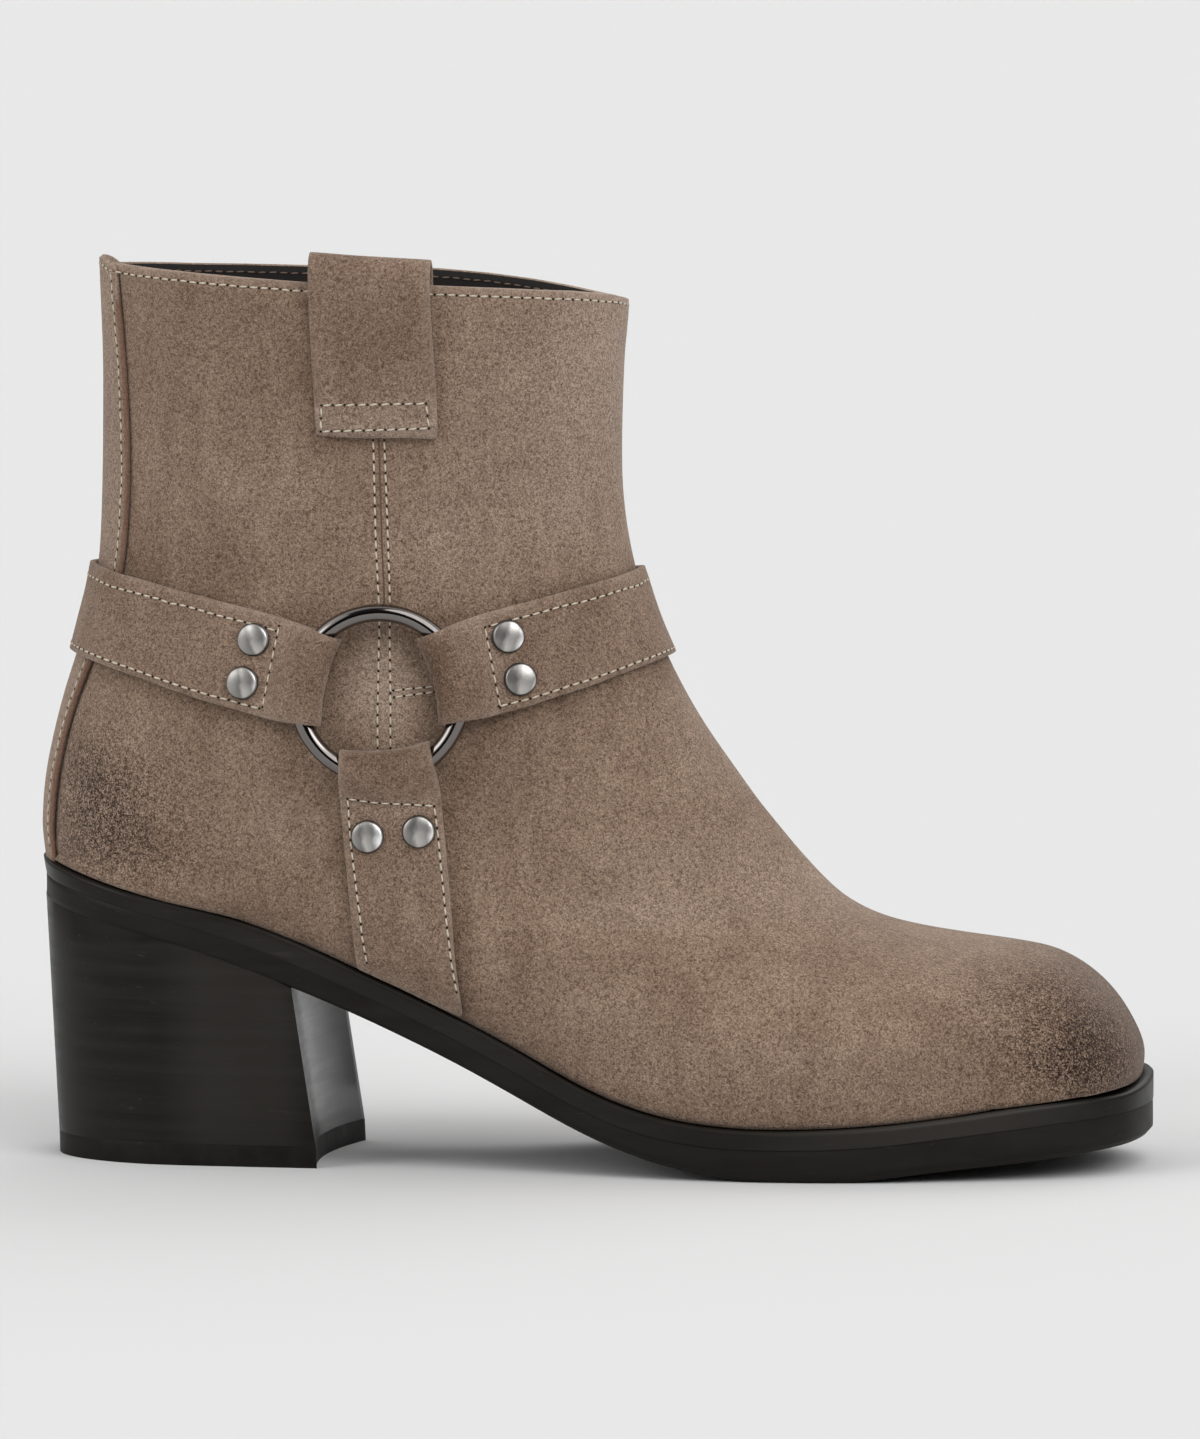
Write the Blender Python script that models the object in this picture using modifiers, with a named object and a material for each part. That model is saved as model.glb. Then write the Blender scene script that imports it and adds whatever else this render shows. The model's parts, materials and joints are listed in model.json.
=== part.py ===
"""A right ankle boot on a block heel, with a harness of straps, rings and rivets round its ankle.

The toe points along +X, the outer side of the foot is -Y and the boot stands on z = 0.
"""

import math
from bisect import bisect_right
from collections import namedtuple

import bmesh
import bpy
from mathutils import Matrix, Vector
from mathutils.bvhtree import BVHTree

# Sizes are in millimetres, and MM turns them into the scene's metres.
MM = 0.001

# Driving sizes of the boot.
LENGTH = 267.0
BALL_WIDTH = 92.0
SEAT_HEIGHT = 70.0
SHAFT_HEIGHT = 213.0
WALL = 2.2
GAP = 0.3

# Sole: station is percent of the length from the back, the two edges are percent of the ball
# width, and the overhang of the welt is in mm. The top of its rim, the bed that the insole lies on
# and the underside are percent of the seat height.
Sole = namedtuple("Sole", "station lateral medial overhang top bed bottom")
SOLE = (
    Sole(0.0, 29.9, 34.2, 0.6, 104.1, 100.0, 88.6),
    Sole(7.9, 32.1, 34.3, 0.6, 95.5, 92.6, 81.1),
    Sole(15.4, 33.7, 32.8, 0.8, 88.4, 85.3, 73.9),
    Sole(21.4, 35.0, 31.1, 1.1, 82.2, 77.1, 65.7),
    Sole(27.4, 35.9, 29.6, 1.5, 72.3, 66.4, 57.0),
    Sole(33.1, 36.6, 28.6, 1.8, 62.9, 57.0, 47.4),
    Sole(38.3, 37.3, 28.6, 2.0, 53.7, 47.8, 38.0),
    Sole(42.9, 38.7, 30.0, 2.2, 45.7, 40.0, 29.0),
    Sole(48.1, 41.7, 33.3, 2.6, 33.6, 30.6, 17.8),
    Sole(53.6, 45.4, 38.3, 3.0, 24.8, 23.1, 9.0),
    Sole(59.0, 48.4, 43.5, 3.4, 20.2, 19.1, 3.0),
    Sole(65.8, 50.0, 47.8, 3.6, 19.0, 17.7, 0.0),
    Sole(73.3, 49.3, 50.0, 3.6, 19.9, 18.3, 0.0),
    Sole(80.8, 45.9, 49.2, 3.6, 22.7, 21.4, 3.3),
    Sole(90.6, 38.3, 43.5, 3.6, 27.4, 26.6, 6.7),
    Sole(100.0, 30.4, 38.0, 3.6, 30.3, 29.4, 10.6),
)
HEEL_ROUND = 33.0
HEEL_POWER = 2.1
HEEL_CENTRE = 2.0
TOE_ROUND = 38.0
TOE_POWER = 2.7
TOE_CENTRE = 4.0
WELT_SHARE = 0.46
EDGE = 0.25
FOOT_ROUND = 0.36
BED_INSET = WALL + 1.6
INSOLE_INSET = WALL + 2.2
INSOLE_THICK = 2.4
SOLE_STATIONS = 26

# Upper: each row is a slanting section from a base point on the back or the sole line to a top
# point on the front line. X columns are percent of the length, z columns percent of the shaft
# height, y columns percent of the ball width. Widest is the share of the section's height where
# it is widest, and the powers say how square it is above and below that.
Cut = namedtuple("Cut", "base_x base_z top_x top_z ridge lateral medial widest top_power base_power")
CUTS = (
    Cut(5.6, 100.0, 52.7, 96.7, 0.5, 36.2, 36.8, 0.50, 2.15, 2.15),
    Cut(5.9, 88.3, 52.4, 88.5, 0.5, 35.2, 35.8, 0.50, 2.10, 2.10),
    Cut(5.8, 76.5, 52.2, 77.5, 0.5, 34.8, 35.2, 0.50, 2.10, 2.10),
    Cut(5.5, 67.2, 53.0, 68.6, 0.5, 35.2, 35.8, 0.50, 2.10, 2.10),
    Cut(4.1, 58.8, 55.0, 60.2, 0.5, 36.6, 36.8, 0.48, 2.10, 2.15),
    Cut(1.9, 49.8, 58.9, 50.3, 0.5, 38.3, 38.3, 0.460, 2.08, 2.20),
    Cut(0.5, 41.0, 62.0, 44.7, 0.6, 38.9, 38.8, 0.455, 2.08, 2.25),
    Cut(0.2, 34.3, 64.6, 40.2, 0.8, 39.3, 38.8, 0.460, 2.07, 2.28),
    Cut(1.9, 33.0, 66.2, 37.6, 1.0, 39.6, 38.7, 0.455, 2.07, 2.28),
    Cut(6.0, 31.7, 67.8, 35.1, 1.2, 39.9, 38.7, 0.438, 2.06, 2.25),
    Cut(12.4, 29.3, 69.2, 33.1, 1.4, 40.3, 38.8, 0.407, 2.06, 2.20),
    Cut(19.9, 26.4, 70.7, 31.1, 1.7, 41.1, 39.1, 0.387, 2.05, 2.20),
    Cut(31.2, 19.6, 72.6, 29.1, 2.2, 42.7, 40.2, 0.381, 2.05, 2.20),
    Cut(44.4, 12.2, 75.6, 27.2, 2.7, 45.2, 42.6, 0.385, 2.10, 2.20),
    Cut(56.8, 6.7, 79.1, 26.1, 3.3, 47.4, 46.0, 0.370, 2.15, 2.20),
    Cut(66.9, 5.9, 82.9, 25.3, 3.8, 47.6, 48.0, 0.35, 2.20, 2.20),
    Cut(74.8, 6.2, 86.8, 24.6, 4.3, 44.8, 46.7, 0.30, 2.30, 2.20),
    Cut(80.8, 7.1, 90.2, 23.8, 4.3, 41.2, 44.6, 0.30, 2.40, 2.20),
    Cut(83.8, 7.5, 93.2, 22.0, 4.3, 39.4, 43.2, 0.25, 2.50, 2.20),
    Cut(85.3, 7.8, 95.9, 19.0, 4.3, 38.4, 42.4, 0.20, 2.60, 2.20),
    Cut(86.1, 8.0, 97.7, 15.5, 4.3, 38.0, 42.2, 0.14, 2.70, 2.20),
    Cut(86.6, 8.1, 98.7, 12.4, 4.3, 37.8, 42.0, 0.08, 2.70, 2.20),
    Cut(86.9, 8.2, 98.5, 9.9, 4.3, 37.6, 41.8, 0.00, 2.70, 2.20),
)
SEAT_ROW = 7
STEPS_A_ROW = 2
HALF_COLUMNS = 14

# Heel block and its top piece.
HEEL_BACK = (-133.1, -130.2)
BREAST_OUTER = (-69.7, -64.0)
BREAST_INNER = (-65.0, -58.8)
BREAST_HOLLOW = 3.6
HEEL_TAPER = 0.91
HEEL_TIP = 5.4

# Harness.
RING_X = -47.9
RING_Z = 113.7
RING_RADIUS = 19.3
RING_WIRE = 2.1
STRAP_WIDTH = 24.0
STRAP_BACK_WIDTH = 22.2
DOWN_WIDTH = 23.6
DOWN_FOOT_WIDTH = 23.8
DOWN_LEAN = 5.8
TIP_SHARE = 0.88
TIP_START = 11.0
TIP_RUN = 14.0
BODY_START = 26.0
BODY_RUN = 44.0
BODY_STEP = 5.2
STRAP_RISE = 17.0
STRAP_LOW = 0.5
STRAP_FOLD = 1.3
STRAP_BODY = 1.7
EYE_ROOM = 0.5
FOLD_BOW = 0.35
FOLD_END = 41.0
RIVET_REACH = 30.9
DOWN_RIVET_REACH = 33.0
RIVET_APART = 10.6
RIVET_RADIUS = 3.7
RIVET_HEIGHT = 1.8

# Pull loop and back stay.
LOOP_X = -50.6
LOOP_WIDTH = 28.8
LOOP_DROP = 35.0
LOOP_RISE = 8.1
LOOP_INSIDE = 22.0
LOOP_THICK = 1.5
LOOP_EASE = 2.0
STAY_THICK = 0.8
STAY_FOOT_THICK = 0.4
STAY_RISE = 0.9

# Half width of the back stay, in mm along the upper, from the collar down to the heel seat.
Stay = namedtuple("Stay", "height half")
STAY = (
    Stay(70.0, 14.0),
    Stay(102.0, 14.0),
    Stay(121.0, 16.3),
    Stay(145.0, 18.6),
    Stay(166.0, 19.2),
    Stay(184.0, 18.1),
    Stay(199.0, 16.9),
    Stay(214.0, 16.4),
)

X_BACK = -LENGTH / 2
X_TOE = LENGTH / 2
LATERAL = -1
MEDIAL = 1


class Smooth:
    """A curve through a table's points that never overshoots them."""

    def __init__(self, knots, values):
        self.knots = list(knots)
        self.values = list(values)
        spans = [b - a for a, b in zip(self.knots, self.knots[1:])]
        rises = [(b - a) / span for a, b, span in zip(self.values, self.values[1:], spans)]
        self.slopes = [rises[0]]
        for before, after in zip(rises, rises[1:]):
            level = before * after <= 0.0
            self.slopes.append(0.0 if level else 2.0 * before * after / (before + after))
        self.slopes.append(rises[-1])

    def __call__(self, at):
        knots = self.knots
        i = min(max(bisect_right(knots, at) - 1, 0), len(knots) - 2)
        span = knots[i + 1] - knots[i]
        t = min(max((at - knots[i]) / span, 0.0), 1.0)
        start, end = self.values[i], self.values[i + 1]
        lean = (self.slopes[i] * (1 - t) - self.slopes[i + 1] * t) * t * (1 - t) * span
        ease = t * t * (3 - 2 * t)
        return start + (end - start) * ease + lean


def mix(a, b, t):
    return a + (b - a) * t


def ease(t):
    t = min(max(t, 0.0), 1.0)
    return t * t * (3 - 2 * t)


SOLE_X = [X_BACK + LENGTH * row.station / 100 for row in SOLE]
SIDE = {
    LATERAL: Smooth(SOLE_X, [-BALL_WIDTH * row.lateral / 100 for row in SOLE]),
    MEDIAL: Smooth(SOLE_X, [BALL_WIDTH * row.medial / 100 for row in SOLE]),
}
OVERHANG = Smooth(SOLE_X, [row.overhang for row in SOLE])
SOLE_TOP = Smooth(SOLE_X, [SEAT_HEIGHT * row.top / 100 for row in SOLE])
SOLE_BED = Smooth(SOLE_X, [SEAT_HEIGHT * row.bed / 100 for row in SOLE])
SOLE_BOTTOM = Smooth(SOLE_X, [SEAT_HEIGHT * row.bottom / 100 for row in SOLE])
STAY_HALF = Smooth([row.height for row in STAY], [row.half for row in STAY])


def edge(x, side, inset=0.0, share=0.0):
    """Y of the sole's outline at x, drawn in by a distance and by a share of the welt's overhang."""
    back = X_BACK + inset + share * OVERHANG(X_BACK)
    toe = X_TOE - inset - share * OVERHANG(X_TOE)
    y = SIDE[side](x) - side * (inset + share * OVERHANG(x))
    if x < back + HEEL_ROUND:
        reach, power, centre = (back + HEEL_ROUND - x) / HEEL_ROUND, HEEL_POWER, HEEL_CENTRE
    elif x > toe - TOE_ROUND:
        reach, power, centre = (x - toe + TOE_ROUND) / TOE_ROUND, TOE_POWER, TOE_CENTRE
    else:
        return y
    closing = (1 - min(reach, 1.0) ** power) ** (1 / power)
    return centre + (y - centre) * closing


def upper_cut(at):
    """The section at a fractional row of the table, in millimetres."""
    x_scale, z_scale, y_scale = LENGTH / 100, SHAFT_HEIGHT / 100, BALL_WIDTH / 100
    values = {name: CUT_CURVE[name](at) for name in Cut._fields}
    values["base_x"] = X_BACK + values["base_x"] * x_scale
    values["top_x"] = X_BACK + values["top_x"] * x_scale
    values["top_z"] *= z_scale
    values["base_z"] *= z_scale
    for name in ("ridge", "lateral", "medial"):
        values[name] *= y_scale
    if at >= SEAT_ROW:
        values["base_x"] = max(values["base_x"], X_BACK + OVERHANG(X_BACK))
        values["base_z"] = SOLE_TOP(values["base_x"]) + GAP + 0.1
    if at >= len(CUTS) - 1:
        values["top_z"] = SOLE_TOP(values["top_x"]) + GAP + 0.1
    return Cut(**values)


CUT_CURVE = {
    name: Smooth(range(len(CUTS)), [getattr(row, name) for row in CUTS]) for name in Cut._fields
}


def half_section(at, side):
    """One side of a section as a fine line from its base to its top."""
    cut = upper_cut(at)
    base_y, foot = HEEL_CENTRE, 0.0
    if at > SEAT_ROW:
        ends = edge(cut.base_x, LATERAL, 0.0, 1.0), edge(cut.base_x, MEDIAL, 0.0, 1.0)
        base_y, foot = sum(ends) / 2, (ends[1] - ends[0]) / 2
    middle = mix(base_y, cut.ridge, cut.widest)
    half = (cut.lateral if side == LATERAL else cut.medial) + side * middle * -1
    half = max(half, foot + 0.25)
    points = []
    if cut.widest > 0.001:
        depth = cut.widest / (1 - (foot / half) ** cut.base_power) ** (1 / cut.base_power)
        start = math.asin(min(1.0, (cut.widest / depth) ** (cut.base_power / 2)))
        for i in range(16):
            angle = start * (1 - i / 16)
            rise = cut.widest - depth * math.sin(angle) ** (2 / cut.base_power)
            points.append((rise, half * math.cos(angle) ** (2 / cut.base_power)))
        points[0] = (0.0, foot)
    else:
        half = foot
    for i in range(29):
        angle = math.pi / 2 * i / 28
        rise = cut.widest + (1 - cut.widest) * math.sin(angle) ** (2 / cut.top_power)
        points.append((rise, half * max(math.cos(angle), 0.0) ** (2 / cut.top_power)))
    points[-1] = (1.0, 0.0)
    line = []
    for rise, out in points:
        y = mix(base_y, cut.ridge, rise) + side * out
        line.append(Vector((mix(cut.base_x, cut.top_x, rise), y, mix(cut.base_z, cut.top_z, rise))))
    return line


def even_line(line, count):
    """The line in count steps, closer together where it turns."""
    lengths = [(b - a).length for a, b in zip(line, line[1:])]
    turns = [0.0] * len(lengths)
    for i in range(1, len(lengths)):
        before, after = line[i] - line[i - 1], line[i + 1] - line[i]
        if before.length > 1e-6 and after.length > 1e-6:
            turn = before.angle(after)
            turns[i - 1] += turn / 2
            turns[i] += turn / 2
    weights = [a / sum(lengths) + 0.35 * b / max(sum(turns), 1e-6) for a, b in zip(lengths, turns)]
    whole = sum(weights)
    result, i, done = [line[0]], 0, 0.0
    for k in range(1, count):
        goal = whole * k / count
        while done + weights[i] < goal:
            done += weights[i]
            i += 1
        result.append(line[i].lerp(line[i + 1], (goal - done) / weights[i]))
    result.append(line[-1])
    return result


def upper_grid(steps, columns):
    """Sections of the upper's outside, each from the outer base over the top to the inner base."""
    grid = []
    for k in range((len(CUTS) - 1) * steps + 1):
        outer = even_line(half_section(k / steps, LATERAL), columns)
        inner = even_line(half_section(k / steps, MEDIAL), columns)
        grid.append(outer + inner[-2::-1])
    return grid


def as_object(name, points, faces, material, smooth=True):
    """A mesh object from points in millimetres, with doubled points merged and faces outward."""
    mesh = bpy.data.meshes.new(name)
    mesh.from_pydata([point * MM for point in points], [], faces)
    work = bmesh.new()
    work.from_mesh(mesh)
    bmesh.ops.remove_doubles(work, verts=work.verts, dist=0.00002)
    bmesh.ops.dissolve_degenerate(work, edges=work.edges, dist=0.00001)
    bmesh.ops.recalc_face_normals(work, faces=work.faces)
    work.to_mesh(mesh)
    work.free()
    if smooth:
        mesh.shade_smooth()
    mesh.materials.append(material)
    thing = bpy.data.objects.new(name, mesh)
    PARTS.objects.link(thing)
    thing.parent = ROOT
    return thing


def grid_faces(rows, columns, start=0, flip=False):
    faces = []
    for i in range(rows - 1):
        for j in range(columns - 1):
            a = start + i * columns + j
            face = (a, a + 1, a + columns + 1, a + columns)
            faces.append(face[::-1] if flip else face)
    return faces


def thick_sheet(name, outer, inner, material):
    """A closed solid between two grids of the same shape."""
    rows, columns = len(outer), len(outer[0])
    far = rows * columns
    points = [point for row in outer for point in row] + [point for row in inner for point in row]
    faces = grid_faces(rows, columns) + grid_faces(rows, columns, far, True)
    for i in range(rows - 1):
        for j in (0, columns - 1):
            a = i * columns + j
            faces.append((a, a + columns, a + columns + far, a + far))
    for j in range(columns - 1):
        for i in (0, rows - 1):
            a = i * columns + j
            faces.append((a, a + 1, a + 1 + far, a + far))
    return as_object(name, points, faces, material)


def plate(name, profile, material, stations=SOLE_STATIONS):
    """A layer of the sole: rings of the outline from its top edge to its bottom edge.

    Each row of the profile is the inset, the share of the overhang and the height line of a ring.
    """
    points, faces = [], []
    count = 2 * stations
    for inset, share, height in profile:
        back = X_BACK + inset + share * OVERHANG(X_BACK)
        toe = X_TOE - inset - share * OVERHANG(X_TOE)
        turn = [mix(i / stations, (1 - math.cos(math.pi * i / stations)) / 2, 0.75)
                for i in range(stations + 1)]
        xs = [mix(back, toe, t) for t in turn]
        ring = [(x, edge(x, LATERAL, inset, share)) for x in xs]
        ring += [(x, edge(x, MEDIAL, inset, share)) for x in xs[-2:0:-1]]
        points += [Vector((x, y, height(x))) for x, y in ring]
    for k in range(len(profile) - 1):
        for i in range(count):
            j = (i + 1) % count
            a = k * count
            faces.append((a + i, a + j, a + count + j, a + count + i))
    for a in (0, (len(profile) - 1) * count):
        for i in range(stations):
            pair = (a + i, a + i + 1, a + (count - i - 1) % count, a + (count - i) % count)
            faces.append(tuple(dict.fromkeys(pair)))
    return as_object(name, points, faces, material)


def heel_grid(share, height):
    """The heel's section at a share of its height, from the back to the hollow breast."""
    stations, across = 12, 8
    back = mix(HEEL_BACK[0], HEEL_BACK[1], share)
    top_back = HEEL_BACK[0]
    rows = []
    for i in range(stations + 1):
        turn = i / stations
        reach = mix(turn, 1 - math.cos(turn * math.pi / 2), 0.8)
        row = []
        for j in range(across + 1):
            t = 2 * j / across - 1
            place = (t + 1) / 2
            breast = mix(mix(*BREAST_OUTER, share), mix(*BREAST_INNER, share), place)
            breast -= BREAST_HOLLOW * (1 - t * t)
            top_breast = mix(BREAST_OUTER[0], BREAST_INNER[0], place)
            x = mix(back, breast, reach)
            look = mix(top_back, top_breast, reach)
            ends = edge(look, LATERAL, 0.4), edge(look, MEDIAL, 0.4)
            middle = (ends[0] + ends[1]) / 2
            half = (ends[1] - ends[0]) / 2 * mix(1.0, HEEL_TAPER, share)
            row.append(Vector((x, middle + t * half, height(x))))
        rows.append(row)
    return rows


def probe(start, way):
    """The point where a ray meets the upper's outside."""
    spot = PROBE.ray_cast(start, way)[0]
    return spot


def beside(x, z, side):
    return probe(Vector((x, side * 120.0, z)), Vector((0.0, -side, 0.0)))


def around(angle, z, way):
    """A point on the shaft, angle from the outer side towards the back (way -1) or front (way 1)."""
    out = Vector((way * math.sin(angle), -math.cos(angle), 0.0))
    return probe(Vector((RING_X, 0.0, z)), out)


class RoundPath:
    """A strap's place on the upper from the outer ring round to the inner ring."""

    def __init__(self, way):
        self.way = way
        level = RING_Z + STRAP_RISE * 0.5
        steps = 240
        self.angles = [math.pi * i / steps for i in range(steps + 1)]
        line = [around(angle, level, way) for angle in self.angles]
        self.lengths = [0.0]
        for a, b in zip(line, line[1:]):
            self.lengths.append(self.lengths[-1] + (b - a).length)
        self.whole = self.lengths[-1]
        self.angle_at = Smooth(self.lengths, self.angles)
        self.top = self.lengths[steps // 2]

    def centre(self, along):
        share = along / self.top
        if along > self.top:
            share = (self.whole - along) / (self.whole - self.top)
        share = min(max(share, -0.2), 1.0)
        z = RING_Z + STRAP_RISE * (1.25 * share - 0.25 * share ** 5)
        return self.angle_at(along), z

    def frame(self, along):
        angle, z = self.centre(along)
        spot = around(angle, z, self.way)
        ahead = around(*self.centre(min(along + 1.5, self.whole)), self.way)
        behind = around(*self.centre(max(along - 1.5, 0.0)), self.way)
        rise = around(angle, z + 2.0, self.way) - around(angle, z - 2.0, self.way)
        forward = (ahead - behind).normalized()
        normal = forward.cross(rise).normalized()
        if normal.dot(spot - Vector((RING_X, 0.0, z))) < 0:
            normal.negate()
        up = normal.cross(forward)
        if up.z < 0:
            up.negate()
        return spot, forward, up, normal

    def at(self, along, across):
        spot, forward, up, normal = self.frame(along)
        goal = spot + up * across
        angle = math.atan2(self.way * (goal.x - RING_X), -goal.y) % (2 * math.pi)
        here = around(angle, goal.z, self.way)
        turn = around(angle + 0.02, goal.z, self.way) - around(angle - 0.02, goal.z, self.way)
        rise = around(angle, goal.z + 1.5, self.way) - around(angle, goal.z - 1.5, self.way)
        normal = turn.cross(rise).normalized()
        if normal.dot(here - Vector((RING_X, 0.0, goal.z))) < 0:
            normal.negate()
        return here, normal

    def low(self, along):
        """Height of the strap's underside above the upper: it rides over the back stay."""
        if self.way > 0:
            return STRAP_LOW
        over = STAY_HALF(RING_Z + STRAP_RISE) + 8.0
        return STRAP_LOW + 1.1 * ease((over - abs(along - self.top)) / 6.0)

    def width_share(self, along):
        """Share of the strap's full width, narrower at the folds and behind."""
        reach = min(along, self.whole - along)
        return tip_share(reach) * mix(1.0, STRAP_BACK_WIDTH / STRAP_WIDTH, ease((reach - BODY_START) / BODY_RUN))


class DownPath:
    """A strap's place on the side of the upper from a ring down to the welt."""

    def __init__(self, side):
        self.side = side
        lean = math.radians(DOWN_LEAN)
        self.forward = Vector((math.sin(lean), 0.0, -math.cos(lean)))
        self.up = Vector((math.cos(lean), 0.0, math.sin(lean)))

    def spot(self, along, across):
        return Vector((RING_X, 0.0, RING_Z)) + self.forward * along + self.up * across

    def at(self, along, across):
        flat = self.spot(along, across)
        here = beside(flat.x, flat.z, self.side)
        turn = beside(flat.x + 1.5, flat.z, self.side) - beside(flat.x - 1.5, flat.z, self.side)
        high = beside(flat.x, flat.z + 1.5, self.side)
        low = beside(flat.x, flat.z - 1.5, self.side) or here
        normal = turn.cross(high - low).normalized()
        if normal.y * self.side < 0:
            normal.negate()
        return here, normal

    def foot(self, across):
        """How far along the strap meets the welt."""
        along = 60.0
        for _ in range(12):
            flat = self.spot(along, across)
            along += (flat.z - SOLE_TOP(flat.x) - 1.6) * 0.8
        return along

    def low(self, along):
        return STRAP_LOW

    def width_share(self, along):
        """Share of the strap's full width, narrower at the fold."""
        return tip_share(along) * mix(1.0, DOWN_FOOT_WIDTH / DOWN_WIDTH, ease((along - BODY_START) / BODY_RUN))


def tip_share(reach):
    """A strap narrows where it folds round its ring."""
    return mix(TIP_SHARE, 1.0, ease((reach - TIP_START) / TIP_RUN))


class Ring:
    """The place of a harness ring beside the upper."""

    def __init__(self, side):
        self.side = side
        reach = 12.0
        middle = beside(RING_X, RING_Z, side)
        ahead = beside(RING_X + reach, RING_Z, side) - beside(RING_X - reach, RING_Z, side)
        rise = beside(RING_X, RING_Z + reach, side) - beside(RING_X, RING_Z - reach, side)
        self.normal = ahead.cross(rise).normalized()
        if self.normal.y * side < 0:
            self.normal.negate()
        self.forward = (ahead - self.normal * ahead.dot(self.normal)).normalized()
        self.up = self.normal.cross(self.forward)
        if self.up.z < 0:
            self.up.negate()
        lift = 0.0
        for k in range(48):
            angle = 2 * math.pi * k / 48
            spot = middle + self.forward * (RING_RADIUS * math.cos(angle))
            spot += self.up * (RING_RADIUS * math.sin(angle))
            under = probe(spot + self.normal * 30, -self.normal)
            depth = (spot - under).dot(self.normal)
            free = 40 < math.degrees(angle) < 140
            room = STRAP_LOW if free else STRAP_LOW + STRAP_FOLD + EYE_ROOM
            lift = max(lift, room + RING_WIRE + 0.15 - depth)
        self.centre = middle + self.normal * lift


def ring_eye(path, ring, away, across, mirror):
    """Place along the strap, height and half length of the eye where the ring's wire crosses it."""
    over = ring.normal.cross(away)
    if over.dot(ring.up if abs(away.z) < 0.6 else ring.forward) < 0:
        over.negate()
    along, height, run = RING_RADIUS, 4.0, RING_RADIUS
    for _ in range(8):
        place = path.whole - along if mirror else along
        out = across * path.width_share(place)
        run = math.sqrt(max(RING_RADIUS ** 2 - out ** 2, 1.0))
        wire = ring.centre + away * run + over * out
        here, normal = path.at(place, out)
        height = (wire - here).dot(normal)
        slip = (wire - here - normal * height).dot(away)
        along += slip
    return along, height, (RING_WIRE + EYE_ROOM) * RING_RADIUS / run + STRAP_FOLD / 2


def fold_line(path, ring, away, columns, mirror=False):
    """How far along the strap its fold reaches at the edges."""
    eyes = [ring_eye(path, ring, away, across, mirror) for across in (columns[0], columns[-1])]
    return min(along - eye_long for along, _, eye_long in eyes)


def loop_end(path, ring, away, across, fold, mirror=False):
    """The folded end of a strap: along, height and thickness from the hidden end out to the body."""
    along, height, eye_long = ring_eye(path, ring, away, across, mirror)
    half = STRAP_FOLD / 2
    eye_high = RING_WIRE + EYE_ROOM + half
    tip = min(mix(fold, along - eye_long, FOLD_BOW), along - eye_long)
    low = STRAP_LOW + half
    over = STRAP_LOW + STRAP_FOLD + GAP + half
    rows = [(FOLD_END, low, STRAP_FOLD), (mix(FOLD_END, along, 0.45), low, STRAP_FOLD)]
    rows.append((along + eye_long + 3.0, mix(low, height - eye_high, 0.25), STRAP_FOLD))
    for degrees in (-92, -55, -20, 20, 55, 90, 128):
        turn = math.radians(degrees)
        reach = along - tip if abs(degrees) < 90 else eye_long
        rows.append((along - reach * math.cos(turn), height + eye_high * math.sin(turn), STRAP_FOLD))
    rows.append((along + eye_long + 2.4, mix(over, height + eye_high, 0.34), STRAP_FOLD))
    rows.append((along + eye_long + 4.8, over + 0.05, STRAP_FOLD))
    rows.append((RIVET_REACH + 1.0, over, STRAP_FOLD))
    rows.append((FOLD_END - 2.0, over, STRAP_FOLD))
    rows.append((FOLD_END + 5.0, STRAP_LOW + STRAP_BODY / 2 + 0.25, STRAP_BODY))
    return rows


def ribbon(name, path, columns, rows_at, material):
    """A strap: a folded sheet that follows its rows of along, height and thickness."""
    outer, inner = [], []
    for across in columns:
        rows = rows_at(across)
        high, low = [], []
        for i, (along, height, thick) in enumerate(rows):
            before, after = rows[max(i - 1, 0)], rows[min(i + 1, len(rows) - 1)]
            forward = Vector((after[0] - before[0], after[1] - before[1])).normalized()
            side = Vector((-forward.y, forward.x)) * (thick / 2)
            for line, sign in ((high, 1), (low, -1)):
                here, normal = path.at(along + sign * side.x, across * path.width_share(along))
                line.append(here + normal * (height + sign * side.y))
        outer.append(high)
        inner.append(low)
    return thick_sheet(name, outer, inner, material)


def round_strap(name, way, rings, material):
    path = RoundPath(way)
    columns = [STRAP_WIDTH * (k / 3 - 0.5) for k in range(4)]
    ways = []
    for ring, start, mirror in ((rings[LATERAL], 0.0, False), (rings[MEDIAL], path.whole, True)):
        step = path.frame(path.whole - 20.0 if mirror else 20.0)[0] - ring.centre
        step -= ring.normal * step.dot(ring.normal)
        ways.append(step.normalized())
    folds = [fold_line(path, rings[LATERAL], ways[0], columns),
             fold_line(path, rings[MEDIAL], ways[1], columns, True)]
    body_start, body_end = FOLD_END + 9.0, path.whole - FOLD_END - 9.0
    steps = max(8, round((body_end - body_start) / BODY_STEP))

    def rows_at(across):
        rows = loop_end(path, rings[LATERAL], ways[0], across, folds[0])
        for k in range(steps + 1):
            along = mix(body_start, body_end, k / steps)
            rows.append((along, path.low(along) + STRAP_BODY / 2, STRAP_BODY))
        far = loop_end(path, rings[MEDIAL], ways[1], across, folds[1], True)
        rows += [(path.whole - along, height, thick) for along, height, thick in far[::-1]]
        return rows

    strap = ribbon(name, path, columns, rows_at, material)
    spots = []
    for mirror in (False, True):
        for across in (RIVET_APART / 2, -RIVET_APART / 2):
            along = path.whole - RIVET_REACH if mirror else RIVET_REACH
            spots.append(path.at(along, across))
    return strap, spots


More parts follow.
